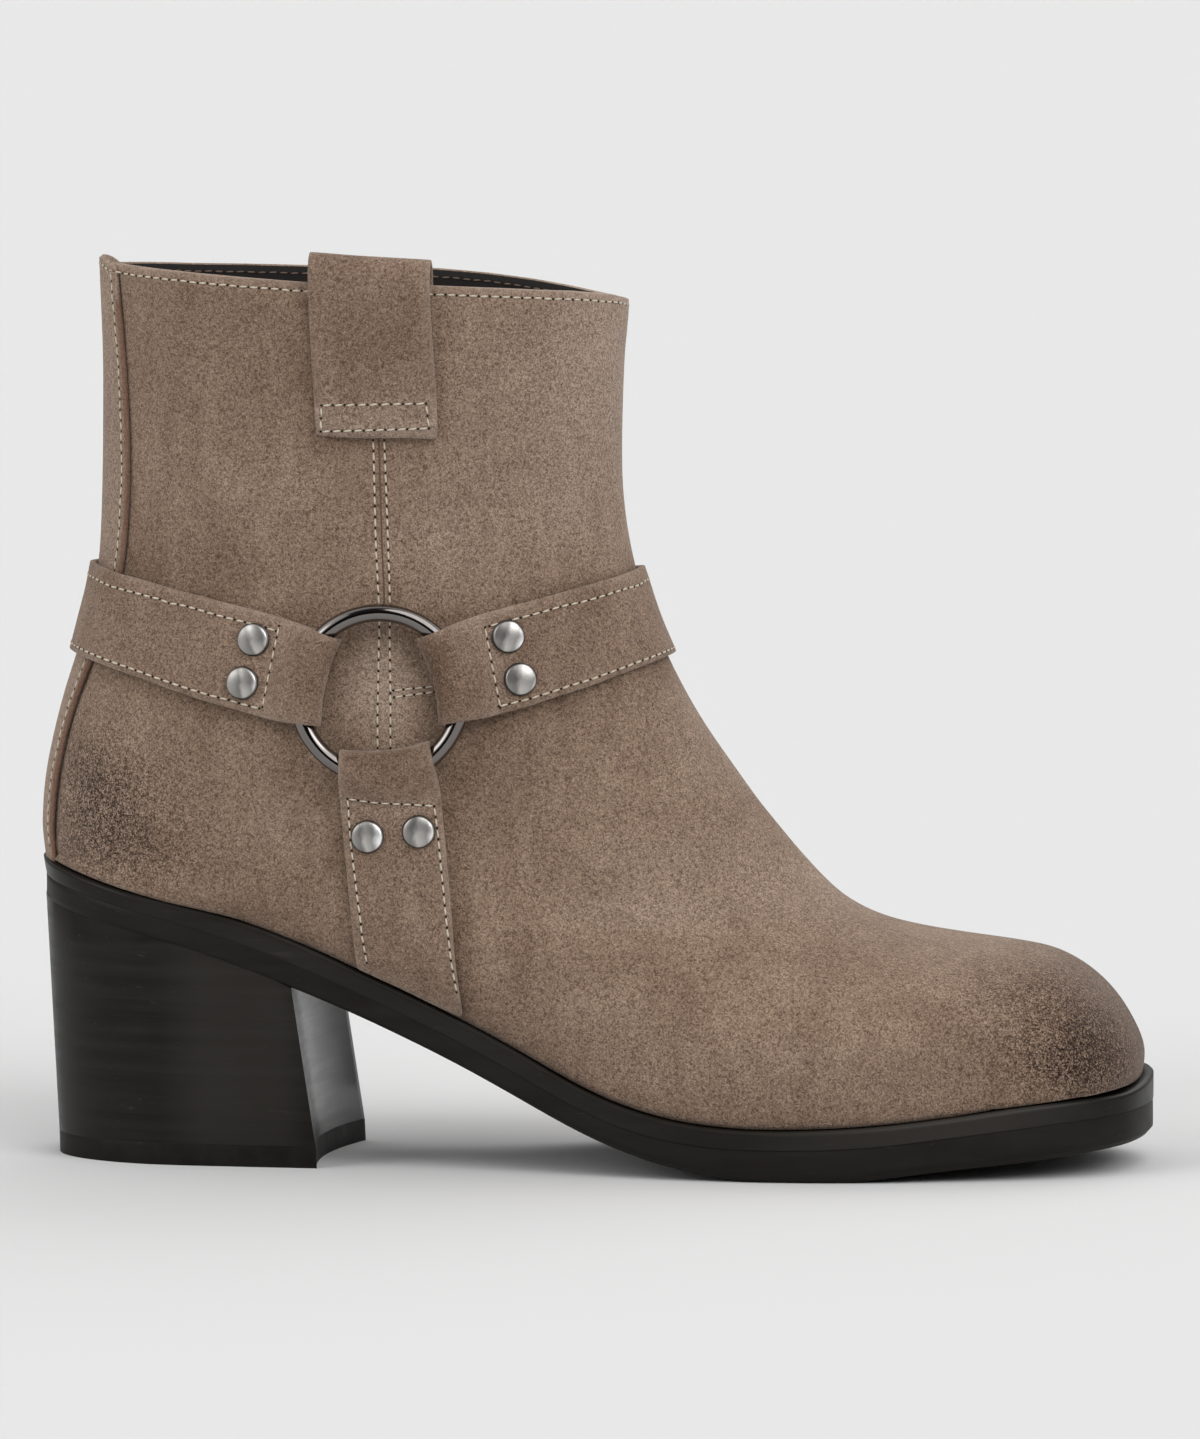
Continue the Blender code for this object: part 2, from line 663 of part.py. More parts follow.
def down_strap(name, ring, material):
    path = DownPath(ring.side)
    columns = [DOWN_WIDTH * (k / 3 - 0.5) for k in range(4)]
    away = path.forward - ring.normal * path.forward.dot(ring.normal)
    away.normalize()
    fold = fold_line(path, ring, away, columns)

    def rows_at(across):
        rows = loop_end(path, ring, away, across, fold)
        end = path.foot(across * path.width_share(BODY_START + BODY_RUN))
        start = FOLD_END + 9.0
        for k in range(6):
            share = k / 5
            thick = mix(STRAP_BODY, 1.1, ease(share))
            rows.append((mix(start, end, share), STRAP_LOW + thick / 2, thick))
        return rows

    strap = ribbon(name, path, columns, rows_at, material)
    return strap, [path.at(DOWN_RIVET_REACH, across) for across in (-6.0, 6.0)]


def rivet(name, spot, normal, material):
    """A domed rivet: a turned profile set on a strap."""
    mesh = bpy.data.meshes.new(name)
    profile = [(0.0, 0.0), (RIVET_RADIUS, 0.0), (RIVET_RADIUS * 0.97, 0.45)]
    for degrees in (35, 62):
        turn = math.radians(degrees)
        profile.append((RIVET_RADIUS * 0.93 * math.cos(turn), 0.45 + 1.35 * math.sin(turn)))
    profile.append((0.0, RIVET_HEIGHT))
    points = [Vector((x, 0.0, z)) * MM for x, z in profile]
    mesh.from_pydata(points, [(i, i + 1) for i in range(len(points) - 1)], [])
    mesh.materials.append(material)
    thing = bpy.data.objects.new(name, mesh)
    PARTS.objects.link(thing)
    thing.parent = ROOT
    screw = thing.modifiers.new("Turn", "SCREW")
    screw.steps = 10
    screw.render_steps = 10
    screw.use_merge_vertices = True
    screw.merge_threshold = 0.00001
    screw.use_normal_calculate = True
    screw.use_normal_flip = True
    height = STRAP_LOW + 2 * STRAP_FOLD + 2 * GAP
    turn = Vector((0, 0, 1)).rotation_difference(normal).to_matrix().to_4x4()
    thing.matrix_local = Matrix.Translation((spot + normal * height) * MM) @ turn
    return thing


def ring_object(name, ring, material):
    bpy.ops.mesh.primitive_torus_add(
        major_radius=RING_RADIUS * MM, minor_radius=RING_WIRE * MM,
        major_segments=40, minor_segments=8)
    thing = bpy.context.object
    thing.name = name
    for holder in thing.users_collection:
        holder.objects.unlink(thing)
    PARTS.objects.link(thing)
    thing.parent = ROOT
    thing.data.materials.append(material)
    thing.data.shade_smooth()
    turn = Vector((0, 0, 1)).rotation_difference(ring.normal).to_matrix().to_4x4()
    thing.matrix_local = Matrix.Translation(ring.centre * MM) @ turn
    return thing


def collar_height(x):
    first = upper_cut(0.0)
    return mix(first.base_z, first.top_z, (x - first.base_x) / (first.top_x - first.base_x))


def pull_loop(name, material):
    """A strip sewn on the outside, folded over the collar and sewn on the inside."""
    outer, inner = [], []
    half = LOOP_THICK / 2
    for k in range(5):
        x = LOOP_X + LOOP_WIDTH * (k / 4 - 0.5)
        top = collar_height(x)
        rim = beside(x, top - 0.3, LATERAL)
        rows = []
        for drop in (LOOP_DROP, 24.0, 13.0, 5.0, 0.5):
            off = rim.y - beside(x, top - max(drop, 0.5), LATERAL).y
            room = mix(LOOP_EASE, 0.5, ease(drop / 20.0))
            rows.append((off + room + half, -drop))
        side_out, side_in = LOOP_EASE + half, -WALL - LOOP_EASE - half
        middle, reach = (side_out + side_in) / 2, (side_out - side_in) / 2
        spring = 2.6
        for degrees in (0, 36, 68, 90, 112, 144, 180):
            turn = math.radians(degrees)
            up = (LOOP_RISE - half - spring) * math.sin(turn)
            rows.append((middle + reach * math.cos(turn), spring + up))
        for drop in (0.5, 5.0, 13.0, LOOP_INSIDE):
            off = rim.y - beside(x, top - max(drop, 0.5), LATERAL).y
            room = mix(LOOP_EASE, 0.6, ease(drop / 18.0))
            rows.append((off - WALL - room - half, -drop))
        high, low = [], []
        for i, (out, up) in enumerate(rows):
            before, after = rows[max(i - 1, 0)], rows[min(i + 1, len(rows) - 1)]
            forward = Vector((after[0] - before[0], after[1] - before[1])).normalized()
            side = Vector((forward.y, -forward.x)) * half
            high.append(Vector((x, rim.y - out - side.x, top + up + side.y)))
            low.append(Vector((x, rim.y - out + side.x, top + up - side.y)))
        outer.append(high)
        inner.append(low)
    return thick_sheet(name, outer, inner, material)


def back_stay(name, material):
    """A strip over the back seam, from just above the collar to the heel seat."""
    outer, inner = [], []
    rows = 22
    for k in range(rows + 1):
        at = mix(0.0, SEAT_ROW - 0.02, k / rows)
        rise = Vector((0.0, 0.0, 0.0 if k else STAY_RISE))
        halves = {side: half_section(at, side) for side in (LATERAL, MEDIAL)}
        high, low = [], []
        for j in range(-4, 5):
            side = MEDIAL if j > 0 else LATERAL
            line = halves[side]
            goal = STAY_HALF(line[0].z) * abs(j) / 4
            done, i = 0.0, 0
            while done + (line[i + 1] - line[i]).length < goal:
                done += (line[i + 1] - line[i]).length
                i += 1
            spot = line[i].lerp(line[i + 1], (goal - done) / (line[i + 1] - line[i]).length)
            normal = PROBE.find_nearest(spot)[1]
            if normal.dot(spot - Vector((RING_X, 0.0, spot.z))) < 0:
                normal = -normal
            thick = mix(STAY_FOOT_THICK, STAY_THICK, ease((line[0].z - SEAT_HEIGHT) / 14.0))
            low.append(spot + rise + normal * GAP)
            high.append(spot + rise + normal * (GAP + thick))
        outer.append(high)
        inner.append(low)
    return thick_sheet(name, outer, inner, material)


def upper(name, material):
    grid = upper_grid(STEPS_A_ROW, HALF_COLUMNS)
    points = [point for row in grid for point in row]
    faces = grid_faces(len(grid), len(grid[0]))
    thing = as_object(name, points, faces, material)
    wall = thing.modifiers.new("Wall", "SOLIDIFY")
    wall.thickness = WALL * MM
    wall.offset = -1.0
    wall.use_even_offset = True
    bpy.context.view_layer.objects.active = thing
    bpy.ops.object.modifier_apply(modifier=wall.name)
    for point in thing.data.vertices:
        floor = (SOLE_TOP(point.co.x / MM) + GAP + 0.1) * MM
        point.co.z = max(point.co.z, floor)
    return thing


def material(name, colour, roughness, metallic=0.0):
    made = bpy.data.materials.new(name)
    made.use_nodes = True
    shader = made.node_tree.nodes["Principled BSDF"]
    shader.inputs["Base Color"].default_value = (*colour, 1.0)
    shader.inputs["Roughness"].default_value = roughness
    shader.inputs["Metallic"].default_value = metallic
    made.diffuse_color = (*colour, 1.0)
    return made


def welt_line(x):
    return mix(SOLE_TOP(x), SOLE_BOTTOM(x), WELT_SHARE)


def build():
    suede = (0.235, 0.172, 0.128)
    black = (0.018, 0.018, 0.016)
    upper("upper", material("upper_suede", suede, 0.9))

    plate("welt", (
        (BED_INSET, 1.0, SOLE_BED),
        (BED_INSET, 1.0, SOLE_TOP),
        (0.5, 0.0, SOLE_TOP),
        (0.0, 0.0, lambda x: SOLE_TOP(x) - 0.5),
        (0.0, 0.0, lambda x: welt_line(x) + EDGE + GAP / 2),
        (EDGE, 0.0, lambda x: welt_line(x) + GAP / 2),
    ), material("welt_rubber", black, 0.45))
    plate("outsole", (
        (EDGE + 0.1, 0.0, lambda x: welt_line(x) - GAP / 2),
        (0.1, 0.0, lambda x: welt_line(x) - EDGE - GAP / 2),
        (0.1, 0.0, lambda x: SOLE_BOTTOM(x) + FOOT_ROUND * OVERHANG(x)),
        (0.1, FOOT_ROUND, SOLE_BOTTOM),
    ), material("outsole_rubber", black, 0.5))
    plate("insole", (
        (INSOLE_INSET, 1.0, lambda x: SOLE_BED(x) + GAP + INSOLE_THICK),
        (INSOLE_INSET, 1.0, lambda x: SOLE_BED(x) + GAP),
    ), material("insole_board", (0.05, 0.045, 0.04), 0.8), 20)

    tip_top = HEEL_TIP - GAP
    thick_sheet(
        "heel",
        heel_grid(0.0, lambda x: SOLE_BOTTOM(x) - GAP),
        heel_grid(0.95, lambda x: HEEL_TIP),
        material("heel_stack", black, 0.4))
    thick_sheet(
        "heel_tip",
        heel_grid(0.955, lambda x: tip_top),
        heel_grid(1.0, lambda x: 0.0),
        material("heel_tip_rubber", black, 0.6))

    back_stay("back_stay", material("back_stay_suede", suede, 0.9))
    pull_loop("pull_loop", material("pull_loop_suede", suede, 0.9))

    strap = material("heel_strap_suede", suede, 0.9)
    rings = {LATERAL: Ring(LATERAL), MEDIAL: Ring(MEDIAL)}
    spots = {}
    spots["heel"] = round_strap("heel_strap", -1, rings, strap)[1]
    spots["instep"] = round_strap("instep_strap", 1, rings, material("instep_strap_suede", suede, 0.9))[1]
    for side, label in ((LATERAL, "outer"), (MEDIAL, "inner")):
        leather = material("down_strap_" + label + "_suede", suede, 0.9)
        spots["down_" + label] = down_strap("down_strap_" + label, rings[side], leather)[1]
        steel = material("ring_" + label + "_steel", (0.35, 0.33, 0.31), 0.25, 1.0)
        ring_object("ring_" + label, rings[side], steel)
    nickel = material("rivet_nickel", (0.6, 0.57, 0.54), 0.3, 1.0)
    for group, places in spots.items():
        for k, (spot, normal) in enumerate(places):
            rivet("rivet_" + group + "_" + str(k + 1), spot, normal, nickel)


for old in list(bpy.data.objects):
    bpy.data.objects.remove(old)
PARTS = bpy.data.collections.new("ankle_boot")
bpy.context.scene.collection.children.link(PARTS)
ROOT = bpy.data.objects.new("ankle_boot", None)
PARTS.objects.link(ROOT)

fine = upper_grid(6, 40)
PROBE = BVHTree.FromPolygons(
    [point for row in fine for point in row], grid_faces(len(fine), len(fine[0])))

build()
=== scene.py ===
"""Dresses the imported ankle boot: suede, stitching, lining, black sole, steel rings and rivets."""

import json
import math

import bpy
import numpy as np
from mathutils import Matrix, Vector, noise
from mathutils.bvhtree import BVHTree


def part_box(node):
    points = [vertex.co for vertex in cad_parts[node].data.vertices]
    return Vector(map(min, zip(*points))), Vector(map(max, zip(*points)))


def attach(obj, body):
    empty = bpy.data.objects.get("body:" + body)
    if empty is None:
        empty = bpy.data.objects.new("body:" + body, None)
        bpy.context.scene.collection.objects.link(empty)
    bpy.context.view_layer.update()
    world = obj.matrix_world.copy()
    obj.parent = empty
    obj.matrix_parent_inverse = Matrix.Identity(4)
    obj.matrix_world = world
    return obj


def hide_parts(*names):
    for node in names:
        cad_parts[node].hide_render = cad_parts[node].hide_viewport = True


bl_info = {
    "name": "Harness ankle boot",
    "version": (1, 0, 0),
    "blender": (4, 5, 0),
    "location": "View3D > Sidebar > Boot",
    "description": "Dresses a packed ankle boot with suede, stitching, hardware and a studio floor",
    "category": "Object",
}

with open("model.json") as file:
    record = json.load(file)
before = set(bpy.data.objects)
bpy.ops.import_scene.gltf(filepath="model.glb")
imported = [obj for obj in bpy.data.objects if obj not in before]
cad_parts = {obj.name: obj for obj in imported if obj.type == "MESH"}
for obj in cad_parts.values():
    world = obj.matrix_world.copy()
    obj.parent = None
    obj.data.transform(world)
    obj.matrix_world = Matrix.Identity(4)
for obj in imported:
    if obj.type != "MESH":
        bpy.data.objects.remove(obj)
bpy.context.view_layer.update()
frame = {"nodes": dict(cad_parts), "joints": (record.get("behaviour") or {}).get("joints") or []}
MM = 0.001

# The middle of the shaft, which the harness goes round, in millimetres.
AXIS_X = -47.9
RING_Z = 113.7
RING_RADIUS = 19.3
RING_WIRE = 2.1
LATERAL = -1
MEDIAL = 1
BOTH = (LATERAL, MEDIAL)

# A line through the middle of the boot's inside, from the collar to the toe.
MIDDLE_LINE = ((-60, 0, 230), (-58, 0, 95), (-45, 0, 72), (5, 0, 45), (60, 0, 32), (108, 3, 25))

# Soft spots of the suede: x, z, reach along x, reach along z, darker (+) or paler (-).
# Partly its patchy tone and rubbed toe, partly painted shade and painted light round the ring and
# shaft.
SHADES = (
    (125, 28, 13, 12, 0.58), (110, 42, 22, 12, 0.30), (95, 27, 18, 7, 0.16),
    (66, 22, 24, 6, 0.14), (57, 50, 17, 8, 0.12), (57, 28, 12, 6, -0.10),
    (-92, 78, 18, 9, 0.10), (-69, 62, 10, 7, 0.24), (-70, 82, 12, 6, -0.14),
    (-92, 184, 26, 34, 0.17), (-100, 205, 20, 8, 0.10), (-104, 196, 9, 14, 0.10),
    (-80, 190, 16, 14, 0.08), (-94, 143, 24, 6, 0.32), (-62, 138, 9, 8, 0.15),
    (-68, 99, 9, 8, 0.22), (-28, 99, 9, 8, 0.20), (-18, 98, 16, 14, 0.26),
    (-14, 50, 14, 12, 0.12), (14, 51, 16, 7, 0.18), (16, 62, 22, 5, -0.20),
    (22, 74, 26, 7, -0.14), (2, 196, 13, 30, -0.46), (-22, 178, 14, 22, -0.12),
    (-33, 150, 12, 12, -0.12), (-5, 158, 10, 14, -0.16), (-48, 115, 10, 12, -0.50),
    (30, 112, 10, 18, -0.22), (62, 66, 20, 8, -0.22), (-66, 96, 12, 10, -0.08),
)

# Toe and heel where the nap is rubbed down to dark leather, in the same columns.
RUBS = (
    (125, 28, 13, 12, 0.52), (112, 29, 16, 10, 0.32), (112, 45, 19, 9, 0.34),
    (-115, 88, 16, 13, 0.42), (-121, 94, 8, 16, 0.12), (-112, 74, 22, 8, 0.28),
)

# Soft folds of the upper: start x, z, end x, z, half width, depth, and the sides that have them.
FOLDS = (
    (-30, 100, -14, 62, 9.0, 0.55, BOTH),
    (-112, 108, -74, 92, 10.0, 0.45, BOTH),
    (-66, 88, -60, 56, 7.0, 0.50, BOTH),
    (10, 112, 34, 76, 12.0, -0.45, BOTH),
    (20, 92, 58, 62, 11.0, 0.45, BOTH),
    (-96, 150, -62, 140, 8.0, 0.60, (LATERAL,)),
    (-30, 150, 2, 158, 9.0, 0.45, BOTH),
    (-88, 196, -72, 168, 10.0, 0.35, (LATERAL,)),
    (-20, 190, -8, 164, 9.0, 0.35, BOTH),
    (70, 44, 96, 34, 10.0, 0.30, BOTH),
)

# Sewn lines on the sides: x and z in millimetres.
SIDE_SEAMS = (
    ((-51.1, 212), (-50.0, 175), (-49.4, 150), (-48.7, 137), (-48.4, 131), (-48.7, 109), (-48.5, 88)),
    ((-47.9, 212), (-47.4, 175), (-46.5, 150), (-46.0, 137), (-46.0, 131), (-45.6, 109), (-45.6, 88)),
)
RING_SEAMS = (((-45.0, 114.6), (-33.0, 115.8)), ((-44.8, 113.0), (-33.0, 114.6)))
LOOP_BOX = ((-62.0, 181.9), (-37.2, 182.5), (-36.6, 176.6), (-62.2, 175.7), (-62.0, 181.9))
HEEL_CROSS = ((-71.9, 129.8), (-75.7, 110.7))
INSTEP_CROSS = ((-23.3, 129.7), (-19.5, 110.8))


def srgb(red, green, blue):
    """A linear colour from screen values of 0 to 255."""
    parts = [value / 255 for value in (red, green, blue)]
    return [p / 12.92 if p <= 0.04045 else ((p + 0.055) / 1.055) ** 2.4 for p in parts]


def length(name, text, default):
    return bpy.props.FloatProperty(name=name, description=text, default=default, unit="LENGTH")


def colour(name, text, *screen):
    return bpy.props.FloatVectorProperty(
        name=name, description=text, default=srgb(*screen), subtype="COLOR", size=3, min=0.0, max=1.0)


class BootSizes(bpy.types.PropertyGroup):
    """Sizes of what is sewn and set on the boot."""

    pitch: length("Stitch pitch", "Distance from one stitch to the next", 0.00262)
    stitch: length("Stitch length", "Length of the thread that shows", 0.0019)
    thread: length("Thread", "Thickness of the sewing thread", 0.00047)
    hole: length("Needle hole", "Radius of a needle hole", 0.00032)
    inset: length("Seam inset", "Distance of a seam from a strap's edge", 0.0023)
    collar_inset: length("Collar seam", "Distance of the collar's seam from its edge", 0.0019)
    stay_inset: length("Stay seam", "Distance of the back stay's seams from its edges", 0.0009)
    slack: length("Slackness", "Depth of the small waves in the straps", 0.00022)
    folds: bpy.props.FloatProperty(
        name="Folds", description="Strength of the upper's soft folds", default=1.0, min=0.0, max=2.0)


class BootColours(bpy.types.PropertyGroup):
    """Colours of the boot's leathers, threads and metals."""

    suede: colour("Suede", "Brushed suede of the upper", 143, 122, 105)
    nap: colour("Nap", "Suede brushed the other way", 118, 97, 81)
    burnish: colour("Burnish", "Dark rubbed toe and heel", 52, 37, 31)
    # The pale colour is also the painted light where the shade field is negative.
    pale: colour("Pale nap", "Lightest brushed spots", 172, 154, 140)
    strap: colour("Strap", "Suede of the straps and loop", 137, 116, 100)
    cut: colour("Cut edge", "Cut edge of the back stay", 112, 80, 64)
    lining: colour("Lining", "Lining leather inside", 36, 34, 33)
    thread: colour("Thread", "Sewing thread", 206, 196, 178)
    dark_thread: colour("Lining thread", "Thread inside the collar", 112, 95, 84)
    sole: colour("Sole", "Welt, outsole and heel", 20, 17, 13)
    insole: colour("Insole", "Sock on the insole", 44, 40, 37)
    ring: colour("Ring", "Dark polished steel", 126, 121, 118)
    rivet: colour("Rivet", "Brushed nickel", 172, 169, 165)
    floor: colour("Floor", "Studio floor", 208, 208, 208)


class Nodes:
    """Adds shader nodes to a tree, each with its settings and inputs."""

    def __init__(self, tree):
        self.tree = tree

    def add(self, kind, inputs=None, out=0, **settings):
        node = self.tree.nodes.new("ShaderNode" + kind)
        for name, value in settings.items():
            setattr(node, name, value)
        self.feed(node, inputs or {})
        return node.outputs[out]

    def feed(self, node, inputs):
        """Links or sets inputs of a node."""
        for name, value in inputs.items():
            socket = node.inputs[name]
            if isinstance(value, bpy.types.NodeSocket):
                self.tree.links.new(value, socket)
            elif socket.type == "RGBA" and len(value) == 3:
                socket.default_value = (*value, 1.0)
            else:
                socket.default_value = value

    def group(self, tree, inputs):
        node = self.tree.nodes.new("ShaderNodeGroup")
        node.node_tree = tree
        self.feed(node, inputs)
        return node.outputs

    def field(self, name):
        """A value that the mesh holds for each of its points."""
        return self.add("Attribute", attribute_name=name, out="Fac")

    def math(self, operation, first, second, clamp=False):
        return self.add("Math", {0: first, 1: second}, operation=operation, use_clamp=clamp)

    def weighted(self, *terms):
        """The sum of some values, each times its weight."""
        total = 0.0
        for value, weight in terms:
            total = self.add("Math", {0: value, 1: weight, 2: total}, operation="MULTIPLY_ADD")
        return total

    def spread(self, pattern, amount):
        """How far a pattern lies from its middle, times an amount."""
        return self.math("MULTIPLY", self.math("SUBTRACT", pattern, 0.5), amount)

    def scaled(self, value, low, high, to_low=0.0, to_high=1.0):
        return self.add("MapRange", {
            "Value": value, "From Min": low, "From Max": high, "To Min": to_low, "To Max": to_high})

    def mix(self, share, first, second, blend="MIX"):
        return self.add(
            "Mix", {0: share, 6: first, 7: second}, out=2, data_type="RGBA", blend_type=blend)

    def noise(self, place, scale, detail=3.0, rough=0.55, distortion=0.0):
        return self.add("TexNoise", {
            "Vector": place, "Scale": scale, "Detail": detail, "Roughness": rough,
            "Distortion": distortion})

    def turned(self, place, rotation, scale):
        return self.add("Mapping", {"Vector": place, "Rotation": rotation, "Scale": scale})

    def bump(self, height, distance, strength):
        return self.add("Bump", {"Height": height, "Distance": distance, "Strength": strength})


def shader_group(name, inputs, outputs):
    """An empty node group with its sockets, what it is given and its end."""
    tree = bpy.data.node_groups.new(name, "ShaderNodeTree")
    for way, sockets in (("INPUT", inputs), ("OUTPUT", outputs)):
        for label, kind in sockets.items():
            tree.interface.new_socket(label, in_out=way, socket_type="NodeSocket" + kind)
    given, result = (tree.nodes.new("NodeGroup" + end) for end in ("Input", "Output"))
    return Nodes(tree), given.outputs, result


# What the suede's colour is multiplied by between its fibres and on them.
GRAIN_DARK = (0.47, 0.425, 0.38)
GRAIN_LIGHT = (1.53, 1.58, 1.63)

# What a full shade keeps of the suede's colour before its darkest rubbed fibres show.
# The shade field is mostly painted shade, partly darker tone and rubbed strap folds.
DUSK = (0.56, 0.51, 0.47)

# Grey dust on the welt with a painted highlight on its top, and a painted reflection down the heel's
# flanks.
DUST_AND_SHEEN = srgb(53, 50, 46)

# Brightness of the nickel across a rivet, from its left side to its right side: a painted reflection.
NICKEL_PAINTED_STREAK = ((0.0, 0.85), (0.20, 0.42), (0.38, 0.50), (0.52, 1.25), (0.60, 1.20),
                 (0.78, 0.80), (1.0, 0.70))


def nap_group():
    """Brushed suede: clouds where the nap lies differently, a fine grain and pale fibre tips."""
    nodes, given, result = shader_group(
        "brushed_nap", {"Place": "Vector", "Clouds": "Float"},
        dict.fromkeys(("Tone", "Grain", "Tips", "Height"), "Float"))
    place = given["Place"]
    cloud = nodes.noise(place, 38.0, 4.0, 0.6, 0.6)
    streak = nodes.noise(nodes.turned(place, (0.3, 0.5, 0.2), (1.0, 1.0, 0.4)), 190.0, 3.0, 0.6)
    fibre = nodes.noise(place, 1150.0, 2.0, 0.65, 0.6)
    speckle = nodes.noise(place, 2500.0, 1.0, 0.7)
    tone = nodes.math("ADD", nodes.spread(cloud, given["Clouds"]), nodes.spread(streak, 0.55))
    nodes.feed(result, {
        "Tone": nodes.math("ADD", tone, 0.5, True),
        "Grain": nodes.weighted((fibre, 0.42), (speckle, 0.58)),
        "Tips": nodes.scaled(speckle, 0.62, 0.76),
        "Height": nodes.weighted((speckle, 0.6), (fibre, 0.7))})
    return nodes.tree


def scuff_group():
    """Moulded rubber and lacquered leather: long polishing marks, stains and small scratches."""
    nodes, given, result = shader_group(
        "polish_marks", {"Place": "Vector", "Stretch": "Vector"},
        dict.fromkeys(("Marks", "Scratches", "Height"), "Float"))
    place = given["Place"]
    drawn = nodes.add("VectorMath", {0: place, 1: given["Stretch"]}, operation="MULTIPLY")
    polish = nodes.noise(drawn, 260.0, 4.0, 0.6)
    marks = nodes.weighted((polish, 0.6), (nodes.noise(place, 45.0, 3.0, 0.5), 0.4))
    scratch = nodes.noise(nodes.turned(place, (0.2, 0.6, 0.4), (0.12, 1.0, 1.0)), 900.0, 1.0, 0.5, 0.4)
    lines = nodes.scaled(scratch, 0.70, 0.78)
    pores = nodes.noise(place, 1800.0, 2.0, 0.6)
    nodes.feed(result, {
        "Marks": marks, "Scratches": lines,
        "Height": nodes.weighted((pores, 0.25), (lines, -0.4), (marks, 0.5))})
    return nodes.tree


def new_material(name, roughness, metallic=0.0):
    """A material with its nodes, its Principled shader, and where its surface is."""
    made = bpy.data.materials.new(name)
    made.use_nodes = True
    nodes = Nodes(made.node_tree)
    shader = made.node_tree.nodes["Principled BSDF"]
    nodes.feed(shader, {"Roughness": roughness, "Metallic": metallic})
    return made, nodes, shader, nodes.add("TexCoord", out="Object")


def times(base, share):
    """A colour made darker or lighter."""
    return [value * share for value in base]


def suede_material(name, group, base, colours, clouds, edge, worn=(0.05, 0.50)):
    """Suede in a base colour, with its nap, rubbed spots, cut edges, and painted shade and light."""
    made, nodes, shader, place = new_material(name, 0.92)
    nap = nodes.group(group, {"Place": place, "Clouds": clouds})
    tone, grain = nap["Tone"], nap["Grain"]
    shade, rub, cut = (nodes.field(field) for field in ("shade", "rub", "cut_edge"))
    low = [value * (dark / light) for value, dark, light in zip(base, colours.nap, colours.suede)]
    skin = nodes.mix(nodes.scaled(tone, 0.28, 0.72), low, base)
    dusk = nodes.mix(nodes.scaled(shade, 0.0, 1.0), (1, 1, 1), DUSK)
    skin = nodes.mix(1.0, skin, dusk, "MULTIPLY")
    bare = nodes.math("MULTIPLY", rub, nodes.scaled(grain, 0.38, 0.62, 2.3, 0.0), True)
    skin = nodes.mix(bare, skin, colours.burnish)
    # A negative shade mixes in the pale colour: painted light.
    skin = nodes.mix(nodes.scaled(shade, 0.0, -1.0), skin, colours.pale)
    fibres = nodes.mix(nodes.scaled(grain, 0.36, 0.64), GRAIN_DARK, GRAIN_LIGHT)
    skin = nodes.mix(1.0, skin, fibres, "MULTIPLY")
    skin = nodes.mix(nodes.math("MULTIPLY", nap["Tips"], 0.30), skin, colours.pale)
    fuzz = nodes.scaled(tone, 0.35, 0.75, *worn)
    cut = nodes.math("MULTIPLY", nodes.math("POWER", cut, 6.0), fuzz)
    nodes.feed(shader, {
        "Base Color": nodes.mix(cut, skin, edge),
        "Roughness": nodes.scaled(tone, 0.2, 0.8, 0.86, 0.98),
        "Specular IOR Level": 0.15, "Sheen Weight": 0.42, "Sheen Roughness": 0.45,
        "Sheen Tint": (0.46, 0.42, 0.39), "Normal": nodes.bump(nap["Height"], 0.0005, 0.8)})
    return made


def black_material(name, group, base, roughness, stretch, coat, marked):
    """Black rubber or lacquered leather with polishing marks, and gloss and a grey dusting with
    painted highlight where they are set.
    """
    made, nodes, shader, place = new_material(name, roughness)
    scuff = nodes.group(group, {"Place": place, "Stretch": stretch})
    lighter = [value + marked for value in base]
    skin = nodes.mix(nodes.scaled(scuff["Marks"], 0.4, 0.62), base, lighter)
    scratched = nodes.math("MULTIPLY", scuff["Scratches"], 0.25)
    skin = nodes.mix(scratched, skin, times(lighter, 4))
    nodes.feed(shader, {
        "Base Color": nodes.mix(nodes.field("dust_and_sheen"), skin, DUST_AND_SHEEN),
        "Roughness": nodes.scaled(scuff["Marks"], 0.3, 0.7, roughness - 0.08, roughness + 0.10),
        "Specular IOR Level": 0.13, "Coat Roughness": 0.16,
        "Coat Weight": nodes.math("ADD", nodes.field("gloss"), coat, True),
        "Normal": nodes.bump(scuff["Height"], 0.00012, 0.35)})
    return made


def metal_material(name, group, base, roughness):
    """Polished steel, slightly worn."""
    made, nodes, shader, place = new_material(name, roughness, 1.0)
    scuff = nodes.group(group, {"Place": place, "Stretch": (1.0, 1.0, 1.0)})
    nodes.feed(shader, {
        "Base Color": nodes.mix(nodes.scaled(scuff["Marks"], 0.3, 0.7), times(base, 0.85), base),
        "Roughness": nodes.scaled(scuff["Marks"], 0.3, 0.7, roughness - 0.03, roughness + 0.05),
        "Normal": nodes.bump(scuff["Height"], 0.00004, 0.15)})
    return made


